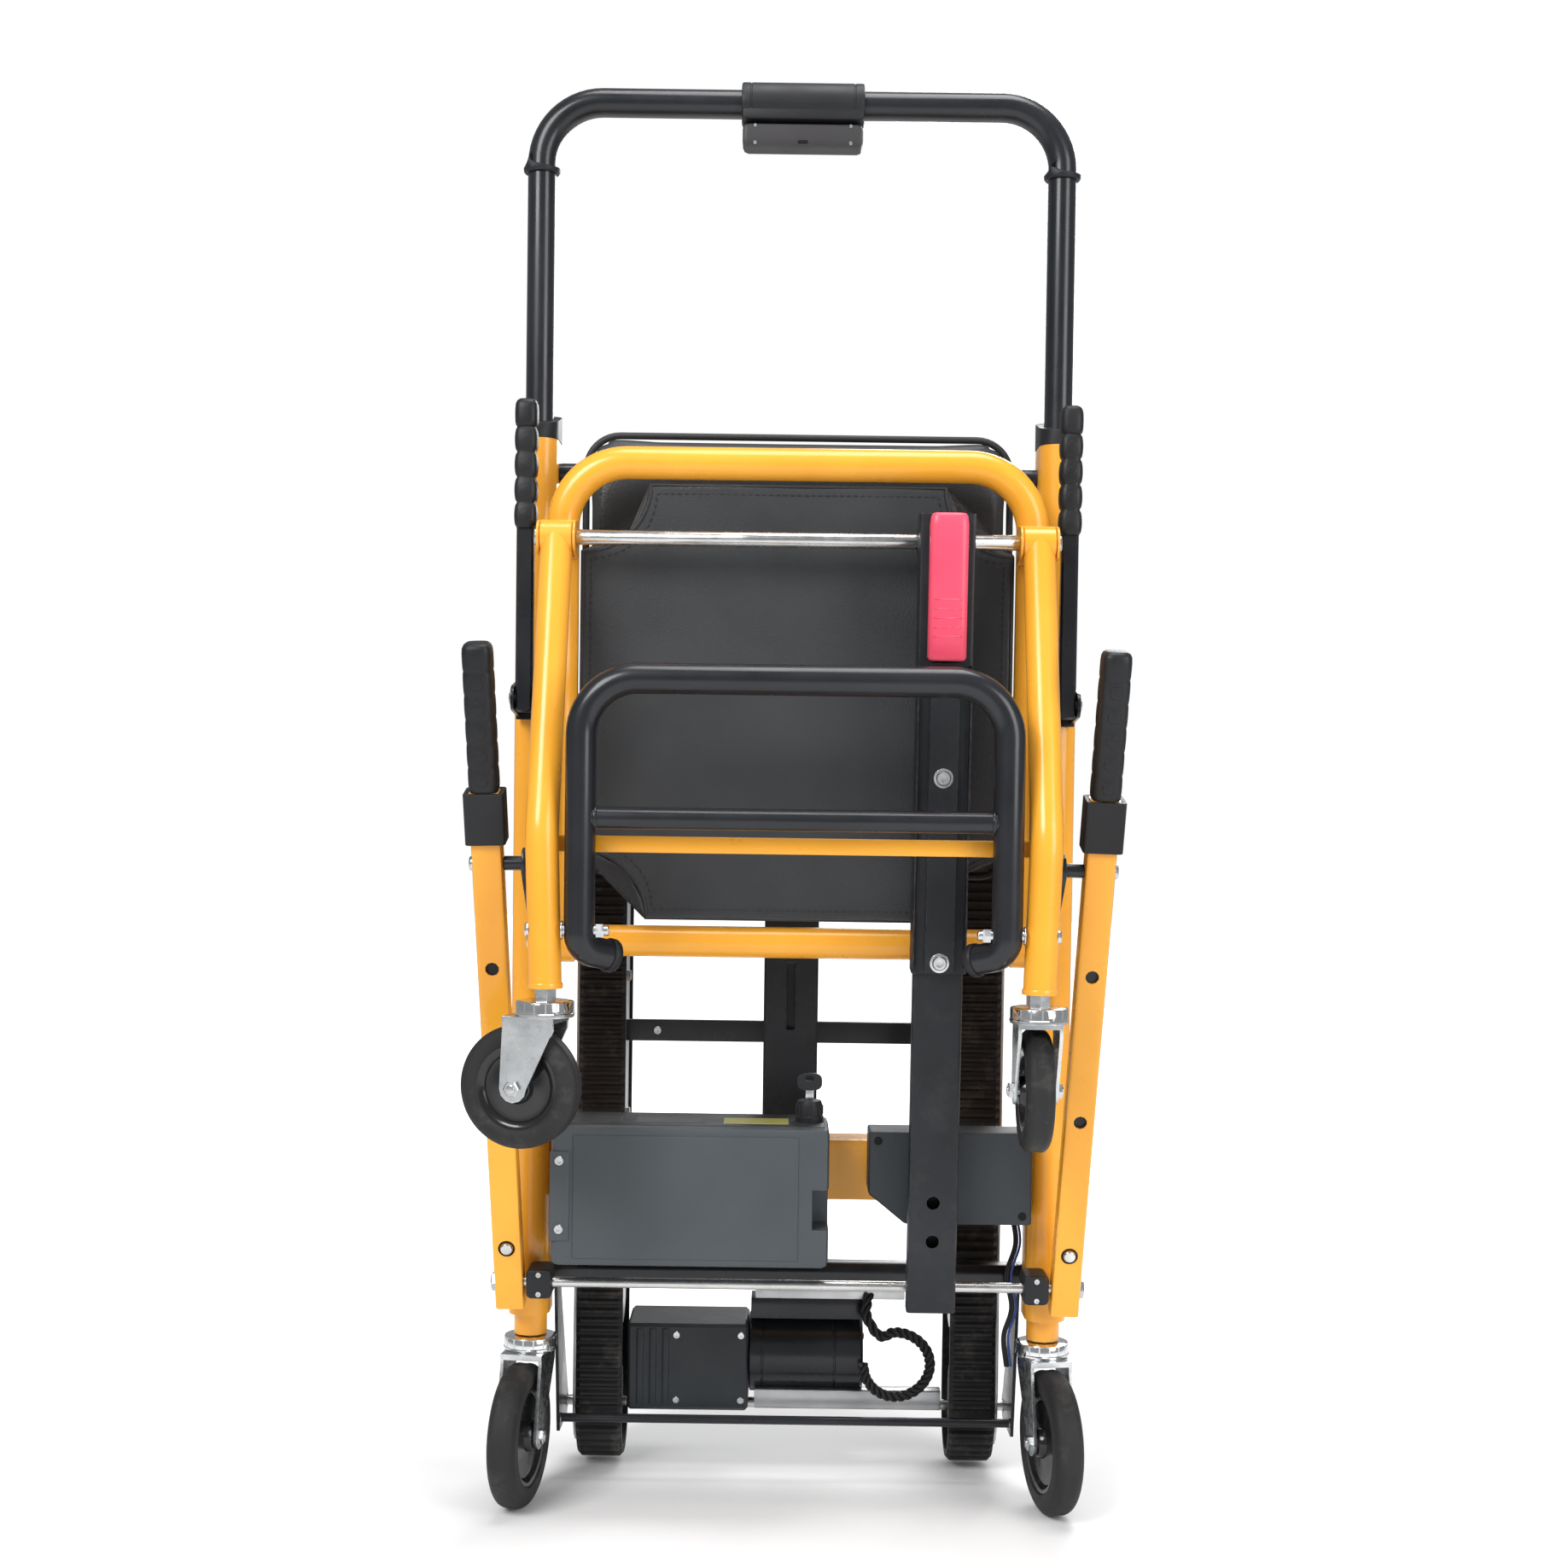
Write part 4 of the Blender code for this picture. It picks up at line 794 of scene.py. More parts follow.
def build_seat_frame():
    top = high("seat_frame").z - 0.0141
    front_y = leg_hinge.y + 0.030
    x = 0.200
    foot_z = seat_pivot.z + 0.004
    foot_y = seat_pivot.y - 0.0015
    line = [(-x, foot_y, foot_z), (-x, front_y, top), (x, front_y, top), (x, foot_y, foot_z)]
    frame_tube = tube("seat_tube", line, 0.0139, YELLOW, "seat", corner=0.055, sides=40)
    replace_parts(frame_tube, "seat_frame")
    for side, label in SIDES:
        eye = [(0.0144, -0.0128), (0.0182, -0.0128), (0.0192, -0.0118), (0.0192, 0.0118), (0.0182, 0.0128),
               (0.0144, 0.0128)]
        turned("seat_eye_" + label, eye, across(side * x, seat_pivot), RIGHT, YELLOW, "seat", 64)
        for inner, outer in ((0.1857, 0.1879), (0.2160, 0.2182)):
            clevis_ear("clevis_%s_%d" % (label, outer * 1000), side * (inner + outer) / 2, outer - inner,
                       YELLOW)
        near, far = sorted((side * 0.1858, side * 0.2181))
        block("clevis_web_" + label, (near, leg_hinge.y + 0.0144, leg_hinge.z - 0.0164),
              (far, leg_hinge.y + 0.0250, leg_hinge.z + 0.0162), YELLOW, "seat", 0.0012, 3)
        bolt = across(side * 0.2180, leg_hinge)
        socket_screw("hinge_bolt_" + label, bolt, Vector((side, 0, 0)), 0.0074, 0.0028, ZINC, "seat")

    reach = 0.1854
    rod = [(0.0, -reach), (0.0058, -reach), (0.0064, -reach + 0.0008), (0.0064, reach - 0.0008),
           (0.0058, reach),
           (0.0, reach)]
    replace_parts(turned("seat_cross_rod", rod, across(0, leg_hinge), RIGHT, STEEL, "seat", 40),
                "seat_rod")
    reach = high("lower_rod").x - 0.001
    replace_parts(tube("lower_cross_rod", [across(-reach, lift_pivot), across(reach, lift_pivot)], 0.0054,
                     STEEL,
                     "lift_frame", end_round=0.001), "lower_rod")


def build_legs():
    foot_z = low("leg_frame").z + 0.0004
    foot = pivot("front_caster_right_swivel")
    for side, label in SIDES:
        line = [across(side * 0.202, leg_hinge), (side * 0.202, foot.y, 0.600),
                (side * foot.x, foot.y, foot_z)]
        leg = tube("leg_tube_" + label, line, 0.0134, YELLOW, "legs", corner=0.080,
                   sides=40)
        if side < 0:
            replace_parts(leg, "leg_frame")
        knuckle = [(0.0046, -0.0136), (0.0124, -0.0136), (0.0134, -0.0126), (0.0134, 0.0126),
                   (0.0124, 0.0136),
                   (0.0046, 0.0136)]
        turned("leg_knuckle_" + label, knuckle, across(side * 0.202, leg_hinge), RIGHT, YELLOW, "legs", 48)
        ring = [(0.0128, 0.0), (0.0141, 0.0), (0.0143, 0.0010), (0.0143, 0.0032), (0.0138, 0.0044),
                (0.0128, 0.0048)]
        turned("leg_end_ring_" + label, ring, (side * foot.x, foot.y, foot_z + 0.0002), UP, YELLOW, "legs",
               48)
        pin_end = 0.1560
        start = across(side * 0.1840, foot_pivot)
        tube("footrest_pin_" + label, [start, across(side * pin_end, foot_pivot)], 0.0044, STEEL, "legs",
             sides=24)
        hex_head("footrest_nut_" + label, across(side * 0.1572, foot_pivot), Vector((-side, 0, 0)), 0.0060,
                 0.0062,
                 ZINC, "legs")
        turned("footrest_bolt_end_" + label, rounded_disc(0.0040, 0.0105, 0.001),
               across(side * 0.1575, foot_pivot),
               Vector((-side, 0, 0)), STEEL, "legs", 24)
        turned("leg_washer_" + label, rounded_disc(0.0078, 0.0012, 0.0004),
               across(side * 0.1852, foot_pivot),
               Vector((-side, 0, 0)), ZINC, "legs", 32)
        outer = Vector((side * 0.2110, foot_pivot.y + 0.003, foot_pivot.z))
        socket_screw("leg_outer_bolt_" + label, outer, Vector((side, 0, 0)), 0.0062, 0.0032, ZINC, "legs")
    tie = 0.5908
    block("leg_tie_bar", (-0.1925, foot.y + 0.0106, tie - 0.0067), (0.1925, foot.y + 0.0166, tie + 0.0067),
          YELLOW,
          "legs", 0.0016, 3)


def build_footrest():
    y = foot_pivot.y
    x, top, bottom = 0.1708, high("footrest_frame").z - 0.0125, foot_pivot.z - 0.0145
    end = Vector((-0.146, y + 0.020, foot_pivot.z - 0.0215))
    elbow, corner = Vector((-x, y, bottom)), Vector((-x, y, top))

    def flip(point):
        return Vector((-point.x, point.y, point.z))

    lower = rounded_path([end, elbow, corner], 0.016, 8)[:-1]
    upper = rounded_path([elbow, corner, flip(corner), flip(elbow)], 0.045, 14)[1:-1]
    path = lower + upper + [flip(point) for point in reversed(lower)]
    mesh = sweep_mesh("footrest", path, 0.0124, 40)
    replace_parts(piece("footrest_tube", mesh, BLACK_PAINT, "footrest"), "footrest_frame")
    rung_z = 0.6120
    tube("footrest_rung", [(-x, y, rung_z), (x, y, rung_z)], 0.0089, BLACK_PAINT, "footrest")
    for side, label in SIDES:
        weld_bead("rung_weld_" + label, (side * (x - 0.0122), y, rung_z), RIGHT, 0.0090, BLACK_PAINT,
                  "footrest")
        tip = Vector((side * 0.146, end.y, end.z))
        inward = (tip - Vector((side * x, y, bottom))).normalized()
        cap = [(0.0, 0.0), (0.0132, 0.0), (0.0138, 0.0008), (0.0138, 0.0050), (0.0128, 0.0070),
               (0.0090, 0.0082),
               (0.0, 0.0086)]
        turned("footrest_cap_" + label, cap, tip - inward * 0.0050, inward, BLACK_PLASTIC, "footrest", 48)


# Brace

def brace_frame():
    start = across(0.123, lift_pivot)
    end = across(0.123, leg_hinge)
    along = (end - start).normalized()
    turn = Matrix((RIGHT, along.cross(RIGHT), along)).transposed().to_4x4()
    return Matrix.Translation(start) @ turn @ Matrix.Translation((0, -0.023, 0)), (end - start).length


def build_brace():
    dress("brace_tube", BLACK_METAL, 0.0008)
    dress("brace_channel", BLACK_METAL, 0.0008)
    place, length = brace_frame()
    front = place.to_3x3() @ FRONT
    for count, along in enumerate((length - 0.195, length - 0.350)):
        socket_screw("brace_bolt_%d" % count, place @ Vector((0, -0.0208, along)), front, 0.0062, 0.0034,
                     ZINC,
                     "brace")
        turned("brace_washer_%d" % count, rounded_disc(0.0082, 0.0010, 0.0004),
               place @ Vector((0, -0.0206, along)),
               front, ZINC, "brace", 32)
    for side in (-1, 1):
        mesh = loft_mesh("flange", [(superellipse(0.0016, 0.0060, 6, 16), length - 0.355),
                                    (superellipse(0.0016, 0.0060, 6, 16), length - 0.102)],
                         place @ Matrix.Translation((side * 0.0218, -0.0172, 0)))
        piece("channel_flange_%d" % (side > 0), mesh, BLACK_METAL, "brace")
    sections = []
    rise = [(-0.0980, 0.0030), (-0.0972, 0.0012), (-0.0950, 0.0), (-0.0700, 0.0), (-0.0400, 0.0),
            (-0.0100, 0.0), (0.0120, 0.0), (0.0190, 0.0008), (0.0214, 0.0022), (0.0220, 0.0040)]
    for height, shrink in rise:
        outline = superellipse(0.0318 - 2 * shrink, 0.0198 - 2 * shrink, 4.0, 40)
        sections.append((outline, length + height))
    mesh = loft_mesh("release", sections, place @ Matrix.Translation((0, -0.0255, 0)))
    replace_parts(piece("release_handle", mesh, RED, "release", 50.0), "release_grip")
    for count in range(5):
        start = place @ Vector((-0.011, -0.0352, length - 0.078 + count * 0.0075))
        end = place @ Vector((0.011, -0.0352, length - 0.078 + count * 0.0075))
        tube("release_rib_%d" % count, [start, end], 0.0009, RED, "release", sides=12,
             end_round=0.0005)


# Tracks and drive

def loop_points(radius, pitch):
    """Evenly spaced points and outward normals round a belt loop, as (depth, height)."""
    y, z, top = drive_axis.y, drive_axis.z, high("track_belt_left").z - 0.0510
    straight = top - z
    total = 2 * straight + 2 * math.pi * radius
    count = round(total / pitch)
    points = []
    for step in range(count):
        s = total * step / count
        if s < straight:
            points.append(((y - radius, z + s), (-1, 0)))
            continue
        s -= straight
        if s < math.pi * radius:
            angle = math.pi - s / radius
            points.append(((y + radius * math.cos(angle), top + radius * math.sin(angle)),
                           (math.cos(angle), math.sin(angle))))
            continue
        s -= math.pi * radius
        if s < straight:
            points.append(((y + radius, top - s), (1, 0)))
            continue
        s -= straight
        angle = -s / radius
        points.append(((y + radius * math.cos(angle), z + radius * math.sin(angle)),
                       (math.cos(angle), math.sin(angle))))
    return points


def build_belts():
    outer, band, cleat = 0.0507, 0.0100, 0.0042
    pitch = 0.0085
    for _, label in SIDES:
        node = "track_belt_" + label
        x_low, x_high = low(node).x + 0.0004, high(node).x - 0.0004
        work = bmesh.new()
        columns = (x_low, x_low + 0.0035, x_high - 0.0035, x_high)
        rows = []
        samples = loop_points(outer - cleat, pitch / 4)
        samples = samples[:len(samples) // 4 * 4]
        for index, (spot, normal) in enumerate(samples):
            lift = cleat if index % 4 in (1, 2) else 0.0012
            inner = (spot[0] - normal[0] * (band - cleat), spot[1] - normal[1] * (band - cleat))
            raised = (spot[0] + normal[0] * lift, spot[1] + normal[1] * lift)
            edge = (spot[0] + normal[0] * 0.0006, spot[1] + normal[1] * 0.0006)
            rows.append([work.verts.new((columns[0], *inner)), work.verts.new((columns[0], *edge)),
                         work.verts.new((columns[1], *raised)), work.verts.new((columns[2], *raised)),
                         work.verts.new((columns[3], *edge)), work.verts.new((columns[3], *inner))])
        for index, row in enumerate(rows):
            following = rows[(index + 1) % len(rows)]
            for step in range(6):
                after = (step + 1) % 6
                work.faces.new((row[step], row[after], following[after], following[step]))
        bmesh.ops.recalc_face_normals(work, faces=work.faces)
        belt = piece("ribbed_belt_" + label, mesh_from(work, "belt"), BELT, "tracks", 30.0)
        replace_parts(belt, node)


def build_tracks():
    build_belts()
    y = drive_axis.y
    for side, label in SIDES:
        node = "track_frame_" + label
        dress(node, ALUMINIUM, 0.0008)
        outer = high(node).x if side > 0 else low(node).x
        inner = (low(node).x if side > 0 else high(node).x)
        top = high("track_belt_left").z - 0.0510
        for count, height in enumerate((0.200, 0.330, 0.460, 0.590, top - 0.010)):
            socket_screw("rail_bolt_%s_%d" % (label, count), (outer, y, height), Vector((side, 0, 0)),
                         0.0050, 0.0028,
                         ZINC, "tracks")
            hex_head("rail_nut_%s_%d" % (label, count), (inner, y, height), Vector((-side, 0, 0)), 0.0055,
                     0.0040,
                     ZINC, "tracks")
        idler = [(0.0, 0.0), (0.0290, 0.0), (0.0310, 0.0014), (0.0310, 0.0026), (0.0260, 0.0034),
                 (0.0120, 0.0030),
                 (0.0090, 0.0052), (0.0, 0.0054)]
        turned("idler_face_" + label, idler, (inner, y, top), Vector((-side, 0, 0)), BLACK_PLASTIC,
               "tracks", 64)
    dress("track_cross_bar", BLACK_PAINT, 0.0008)
    for side, label in SIDES:
        x = side * (high("track_cross_bar").x - 0.030)
        for depth, way in ((low("track_cross_bar").y, FRONT), (high("track_cross_bar").y, BACK)):
            socket_screw("tie_screw_%s_%d" % (label, way.y > 0), (x, depth, centre("track_cross_bar").z),
                         way, 0.0040,
                         0.0022, ZINC, "tracks")


def build_drive():
    reach = high("drive_shaft").x
    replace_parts(tube("drive_axle", [across(-reach, drive_axis), across(reach, drive_axis)], 0.0059, STEEL,
                     "drive",
                     end_round=0.001), "drive_shaft")
    for side, label in SIDES:
        x = side * centre("track_belt_right").x
        teeth = 22
        outline = []
        for tooth in range(teeth * 4):
            radius = 0.0388 if tooth % 4 in (1, 2) else 0.0362
            angle = 2 * math.pi * tooth / (teeth * 4)
            outline.append((drive_axis.y + radius * math.cos(angle),
                            drive_axis.z + radius * math.sin(angle)))
        mesh = flat_mesh("sprocket", outline, 0.033, side_plane(x))
        soften(piece("sprocket_" + label, mesh, BLACK_PLASTIC, "drive", 30.0), 0.0006, 2)
    low_g, high_g = low("gearbox"), high("gearbox")
    dress("gearbox", DARK_CASE, 0.0016, 3)
    for count, x in enumerate((low_g.x + 0.012, low_g.x + 0.024, low_g.x + 0.036)):
        block("gearbox_rib_%d" % count, (x - 0.0030, low_g.y - 0.0016, low_g.z + 0.006),
              (x + 0.0030, low_g.y + 0.004, high_g.z - 0.004), DARK_CASE, "tracks", 0.0012, 3)
    for x in (low_g.x + 0.046, high_g.x - 0.007):
        for height in (low_g.z + 0.010, high_g.z - 0.010):
            for depth, way in ((low_g.y, FRONT), (high_g.y, BACK)):
                socket_screw("gearbox_screw_%d_%d_%d" % (x * 1000 + 200, height * 1000, way.y > 0),
                             (x, depth, height),
                             way, 0.0034, 0.0018, ZINC, "tracks")
    length = high("motor").x - low("motor").x
    r = (high("motor").z - low("motor").z) / 2 - 0.0004
    profile = [(0.0, 0.0), (r * 0.93, 0.0), (r, 0.0012), (r, 0.0110), (r - 0.0010, 0.0116),
               (r - 0.0010, 0.0130),
               (r - 0.0003, 0.0136), (r - 0.0003, length - 0.028), (r - 0.0012, length - 0.0274),
               (r - 0.0012, length - 0.0260), (r, length - 0.0254), (r, length - 0.0025), (r - 0.0026,
                                            length),
               (0.0140, length), (0.0120, length - 0.0012), (0.0, length - 0.0012)]
    body = turned("motor_can", profile, (low("motor").x, centre("motor").y, centre("motor").z), RIGHT,
                  BLACK_PAINT,
                  "tracks", 80)
    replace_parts(body, "motor")
    for count in range(4):
        angle = math.pi / 2 * count + math.pi / 4
        spot = Vector((high("motor").x, centre("motor").y + 0.028 * math.cos(angle),
                       centre("motor").z + 0.028 * math.sin(angle)))
        socket_screw("motor_screw_%d" % count, spot - RIGHT * 0.0004, RIGHT, 0.0032, 0.0016, ZINC, "tracks")
    x_low, x_high = high_g.x + 0.006, high("motor").x + 0.073
    channel_z = drive_axis.z + 0.0195
    front = low("motor").y + 0.006
    for name, corner_low, corner_high in (
            ("channel_face", (x_low, front, channel_z - 0.016),
             (x_high, front + 0.0022, channel_z + 0.002)),
            ("channel_lip_top", (x_low, front, channel_z), (x_high, front + 0.016, channel_z + 0.002)),
            ("channel_lip_low", (x_low, front, channel_z - 0.016),
             (x_high, front + 0.016, channel_z - 0.014))):
        block(name, corner_low, corner_high, ALUMINIUM, "tracks", 0.0006, 2)
    motor_top = high("motor").z
    block("motor_mount_plate", (high_g.x + 0.002, front, motor_top),
          (high("motor").x, front + 0.030, motor_top + 0.0195),
          BLACK_PAINT, "tracks", 0.0010, 2)
    block("upper_strip", (x_low, front - 0.002, motor_top + 0.0197),
          (high("motor").x + 0.038, front + 0.014,
          motor_top + 0.0307), ALUMINIUM, "tracks", 0.0006, 2)
    tie = Vector((0, drive_axis.y - 0.0595, drive_axis.z + 0.0005))
    tube("tie_rod_sleeve", [(-0.2068, tie.y, tie.z), (0.2068, tie.y, tie.z)], 0.0046, STEEL, "back_frame",
         end_round=0.0008)


# Battery, controller and key

def build_boxes():
    dress("battery_box", GREY_CASE, 0.0010, 2)
    case_low, case_high = low("battery_box"), high("battery_box")
    top = case_high.z
    block("battery_lid", (case_low.x + 0.004, case_low.y + 0.006, top - 0.0030),
          (case_high.x - 0.004, case_high.y - 0.002,
           top + 0.0006), DARK_CASE, "back_frame", 0.0012, 3)
    labels = (("battery_label_a", 0.022, 0.058, STICKER_GREY),
              ("battery_label_b", 0.070, 0.128, STICKER_GREY),
              ("battery_label_c", 0.146, 0.202, STICKER))
    for name, start, end, material in labels:
        block(name, (case_low.x + start, case_low.y + 0.018, top + 0.0003),
              (case_low.x + end, case_low.y + 0.050,
              top + 0.0009), material, "back_frame", 0.0002, 1)
    front = case_low.y
    block("battery_flange", (case_low.x - 0.0006, front - 0.0014, case_low.z + 0.022), (case_low.x + 0.016,
          front + 0.004, top - 0.022), GREY_CASE, "back_frame", 0.0010, 3)
    for height in (case_low.z + 0.032, top - 0.030):
        socket_screw("flange_screw_%d" % (height * 1000), (case_low.x + 0.0075, front - 0.0012, height),
                     FRONT,
                     0.0042, 0.0020, ZINC, "back_frame")
    block("battery_front_panel", (case_low.x + 0.0190, front - 0.0010, case_low.z + 0.007),
          (case_high.x - 0.026,
          front + 0.002, top - 0.008), GREY_CASE, "back_frame", 0.0009, 3)

    dress("controller_box", DARK_CASE, 0.0008, 2)
    box_low, box_high = low("controller_box"), high("controller_box")
    # Painted shade: dark discs on the box face stand in for the shade inside its corner holes.
    for x, height in ((box_low.x + 0.008, box_high.z - 0.008), (box_high.x - 0.008, box_high.z - 0.008),
                      (box_high.x - 0.008, box_low.z + 0.008)):
        turned("controller_hole_%d_%d" % (x * 1000, height * 1000), rounded_disc(0.0036, 0.0010, 0.0004),
               (x, box_low.y + 0.0002, height), FRONT, PAINTED_HOLE_SHADE, "back_frame", 24)

    key = pivot("key_turn")
    base = low("key_switch").z
    knob = [(0.0, 0.0), (0.0123, 0.0), (0.0123, 0.0050), (0.0112, 0.0060), (0.0112, 0.0150),
            (0.0100, 0.0186),
            (0.0, 0.0190)]
    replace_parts(turned("key_knob", knob, (key.x, key.y, base), UP, BLACK_PLASTIC, "key", 48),
                "key_switch")
    for count in range(18):
        angle = 2 * math.pi * count / 18
        spot = Vector((key.x + 0.0112 * math.cos(angle), key.y + 0.0112 * math.sin(angle), base + 0.0065))
        tube("knob_ridge_%02d" % count, [spot, spot + UP * 0.0080], 0.0009, BLACK_PLASTIC, "key", sides=8)
    head = high("key_switch").z
    bow = superellipse(0.0215, 0.0150, 3.0, 40)
    hole = [(x * 0.38, y * 0.30 + 0.0030) for x, y in bow]
    work = bmesh.new()
    rings = []
    for outline, depth in ((bow, -0.0012), (bow, 0.0012), (hole, 0.0012), (hole, -0.0012)):
        rings.append([work.verts.new((key.x + px, key.y + depth, head - 0.0080 + py)) for px,
                      py in outline])
    for index in range(4):
        one, two = rings[index], rings[(index + 1) % 4]
        for step in range(40):
            after = (step + 1) % 40
            work.faces.new((one[step], one[after], two[after], two[step]))
    bmesh.ops.recalc_face_normals(work, faces=work.faces)
    piece("key_bow", mesh_from(work, "bow"), BLACK_PLASTIC, "key")
    block("key_shank", (key.x - 0.0035, key.y - 0.0010, base + 0.0180), (key.x + 0.0035, key.y + 0.0010,
          head - 0.0140), ZINC, "key", 0.0004, 2)


# Cables

def cable(name, points, radius, material, body, strands=1):
    """A smooth cable through points; with strands, a loose twist of several."""
    smooth = []
    points = [Vector(p) for p in points]
    ends = [points[0] * 2 - points[1]] + points + [points[-1] * 2 - points[-2]]
    for index in range(1, len(ends) - 2):
        p0, p1, p2, p3 = ends[index - 1:index + 3]
        for step in range(8):
            t = step / 8
            smooth.append(0.5 * ((2 * p1) + (p2 - p0) * t + (2 * p0 - 5 * p1 + 4 * p2 - p3) * t * t
                                 + (3 * p1 - p0 - 3 * p2 + p3) * t ** 3))
    smooth.append(points[-1])
    for strand in range(strands):
        path = []
        for index, point in enumerate(smooth):
            if strands > 1:
                ahead = smooth[min(index + 1, len(smooth) - 1)] - smooth[max(index - 1, 0)]
                side = ahead.cross(BACK).normalized()
                other = ahead.cross(side).normalized()
                angle = index * 0.55 + 2 * math.pi * strand / strands
                point = point + radius * 0.95 * (math.cos(angle) * side + math.sin(angle) * other)
            path.append(point)
        piece("%s_%d" % (name, strand), sweep_mesh(name, path, radius * (0.75 if strands > 1 else 1.0),
                                            10), material,
              body)


def build_cables():
    motor = centre("motor")
    x, y, z = high("motor").x + 0.0305, low("motor").y - 0.010, motor.z + 0.0045
    loop = []
    for step in range(13):
        angle = math.radians(120 - 300 * step / 12)
        loop.append((x + 0.031 * math.cos(angle), y - 0.002 * math.sin(angle * 2),
                     z - 0.004 + 0.030 * math.sin(angle)))
    start = [(x - 0.026, y + 0.014, z + 0.058), (x - 0.028, y + 0.004, z + 0.040)]
    cable("drive_cable", start + loop, 0.0030, CABLE, "tracks", 3)
    wires = ((0.2005, CABLE, 0.0016), (0.2035, WIRE_BLUE, 0.0012), (0.1985, CABLE, 0.0013))
    for count, (x, material, radius) in enumerate(wires):
        front = low("lower_beam").y + 0.012
        points = [(x, front, 0.262), (x + 0.004, front - 0.002, 0.235), (x - 0.003, front + 0.003, 0.205),
                  (x + 0.002, front + 0.004, 0.175), (x - 0.004, front + 0.010, 0.148), (x, front + 0.020,
                                            0.118)]
        cable("side_wire_%d" % count, points, radius, material, "back_frame")


# Soft goods

def cloth_swell(obj, voxel, pressure, cap):
    """Swell a pad with a short cloth simulation, cap how far it moves, and bake it."""
    scene = bpy.context.scene
    bpy.ops.object.select_all(action="DESELECT")
    obj.select_set(True)
    bpy.context.view_layer.objects.active = obj
    remesh = obj.modifiers.new("remesh", "REMESH")
    remesh.mode = "VOXEL"
    remesh.voxel_size = voxel
    remesh.use_smooth_shade = True
    graph = bpy.context.evaluated_depsgraph_get()
    obj.data = bpy.data.meshes.new_from_object(obj.evaluated_get(graph))
    obj.modifiers.clear()
    rest = [vertex.co.copy() for vertex in obj.data.vertices]
    cloth = obj.modifiers.new("cloth", "CLOTH")
    cloth.settings.effector_weights.gravity = 0.0
    cloth.settings.use_pressure = True
    cloth.settings.uniform_pressure_force = pressure
    cloth.settings.tension_stiffness = 20
    cloth.settings.compression_stiffness = 20
    cloth.settings.quality = 5
    for frame_number in range(1, 17):
        scene.frame_set(frame_number)
    graph = bpy.context.evaluated_depsgraph_get()
    swollen = bpy.data.meshes.new_from_object(obj.evaluated_get(graph))
    obj.modifiers.clear()
    for vertex, start in zip(swollen.vertices, rest):
        move = vertex.co - start
        if move.length > cap:
            vertex.co = start + move.normalized() * cap
    obj.data = swollen
    scene.frame_set(1)


def rounded_panel(width, height, corners, steps=8):
    """A panel outline in (x, z) about its middle; corner radii, negative for a corner cut away in a curve."""
    outline = []
    signs = ((1, 1), (-1, 1), (-1, -1), (1, -1))
    for index, (sx, sz) in enumerate(signs):
        radius = corners[index]
        start = 90 * index
        cx, cz = sx * width / 2, sz * height / 2
        if radius >= 0:
            outline += arc((cx - sx * radius, cz - sz * radius), radius, start, start + 90, steps)
        else:
            outline += arc((cx, cz), -radius, start + 270, start + 180, steps)
    return outline


def pad_mesh(name, outline, middle, depth, crown, rings=10, bow=0.0):
    """A pad with rounded rims: the outline shrinks towards its middle on both faces."""
    work = bmesh.new()
    layers = []
    for way in (1, -1):
        for ring in range(rings + 1):
            t = ring / rings
            scale = 1.0 - 0.97 * (1 - math.cos(math.pi / 2 * t)) if ring else 1.0
            swell = depth / 2 * math.sin(math.pi / 2 * min(1.0,
                                            t * 3.2)) + crown * math.sin(math.pi / 2 * t)
            layers.append((scale, way * swell))
    front = layers[:rings + 1]
    back = layers[rings + 1:]
    order = list(reversed(front)) + back[1:]
    verts = []
    for scale, swell in order:
        ring = []
        for x, z in outline:
            bend = bow * (1 - (2 * x * scale / (max(p[0] for p in outline) * 2)) ** 2)
            ring.append(work.verts.new((middle.x + x * scale, middle.y - swell + bend,
                                        middle.z + z * scale)))
        verts.append(ring)
    count = len(outline)
    for one, two in zip(verts, verts[1:]):
        for step in range(count):
            after = (step + 1) % count
            work.faces.new((one[step], one[after], two[after], two[step]))
    work.faces.new(list(reversed(verts[0])))
    work.faces.new(verts[-1])
    bmesh.ops.recalc_face_normals(work, faces=work.faces)
    return mesh_from(work, name)


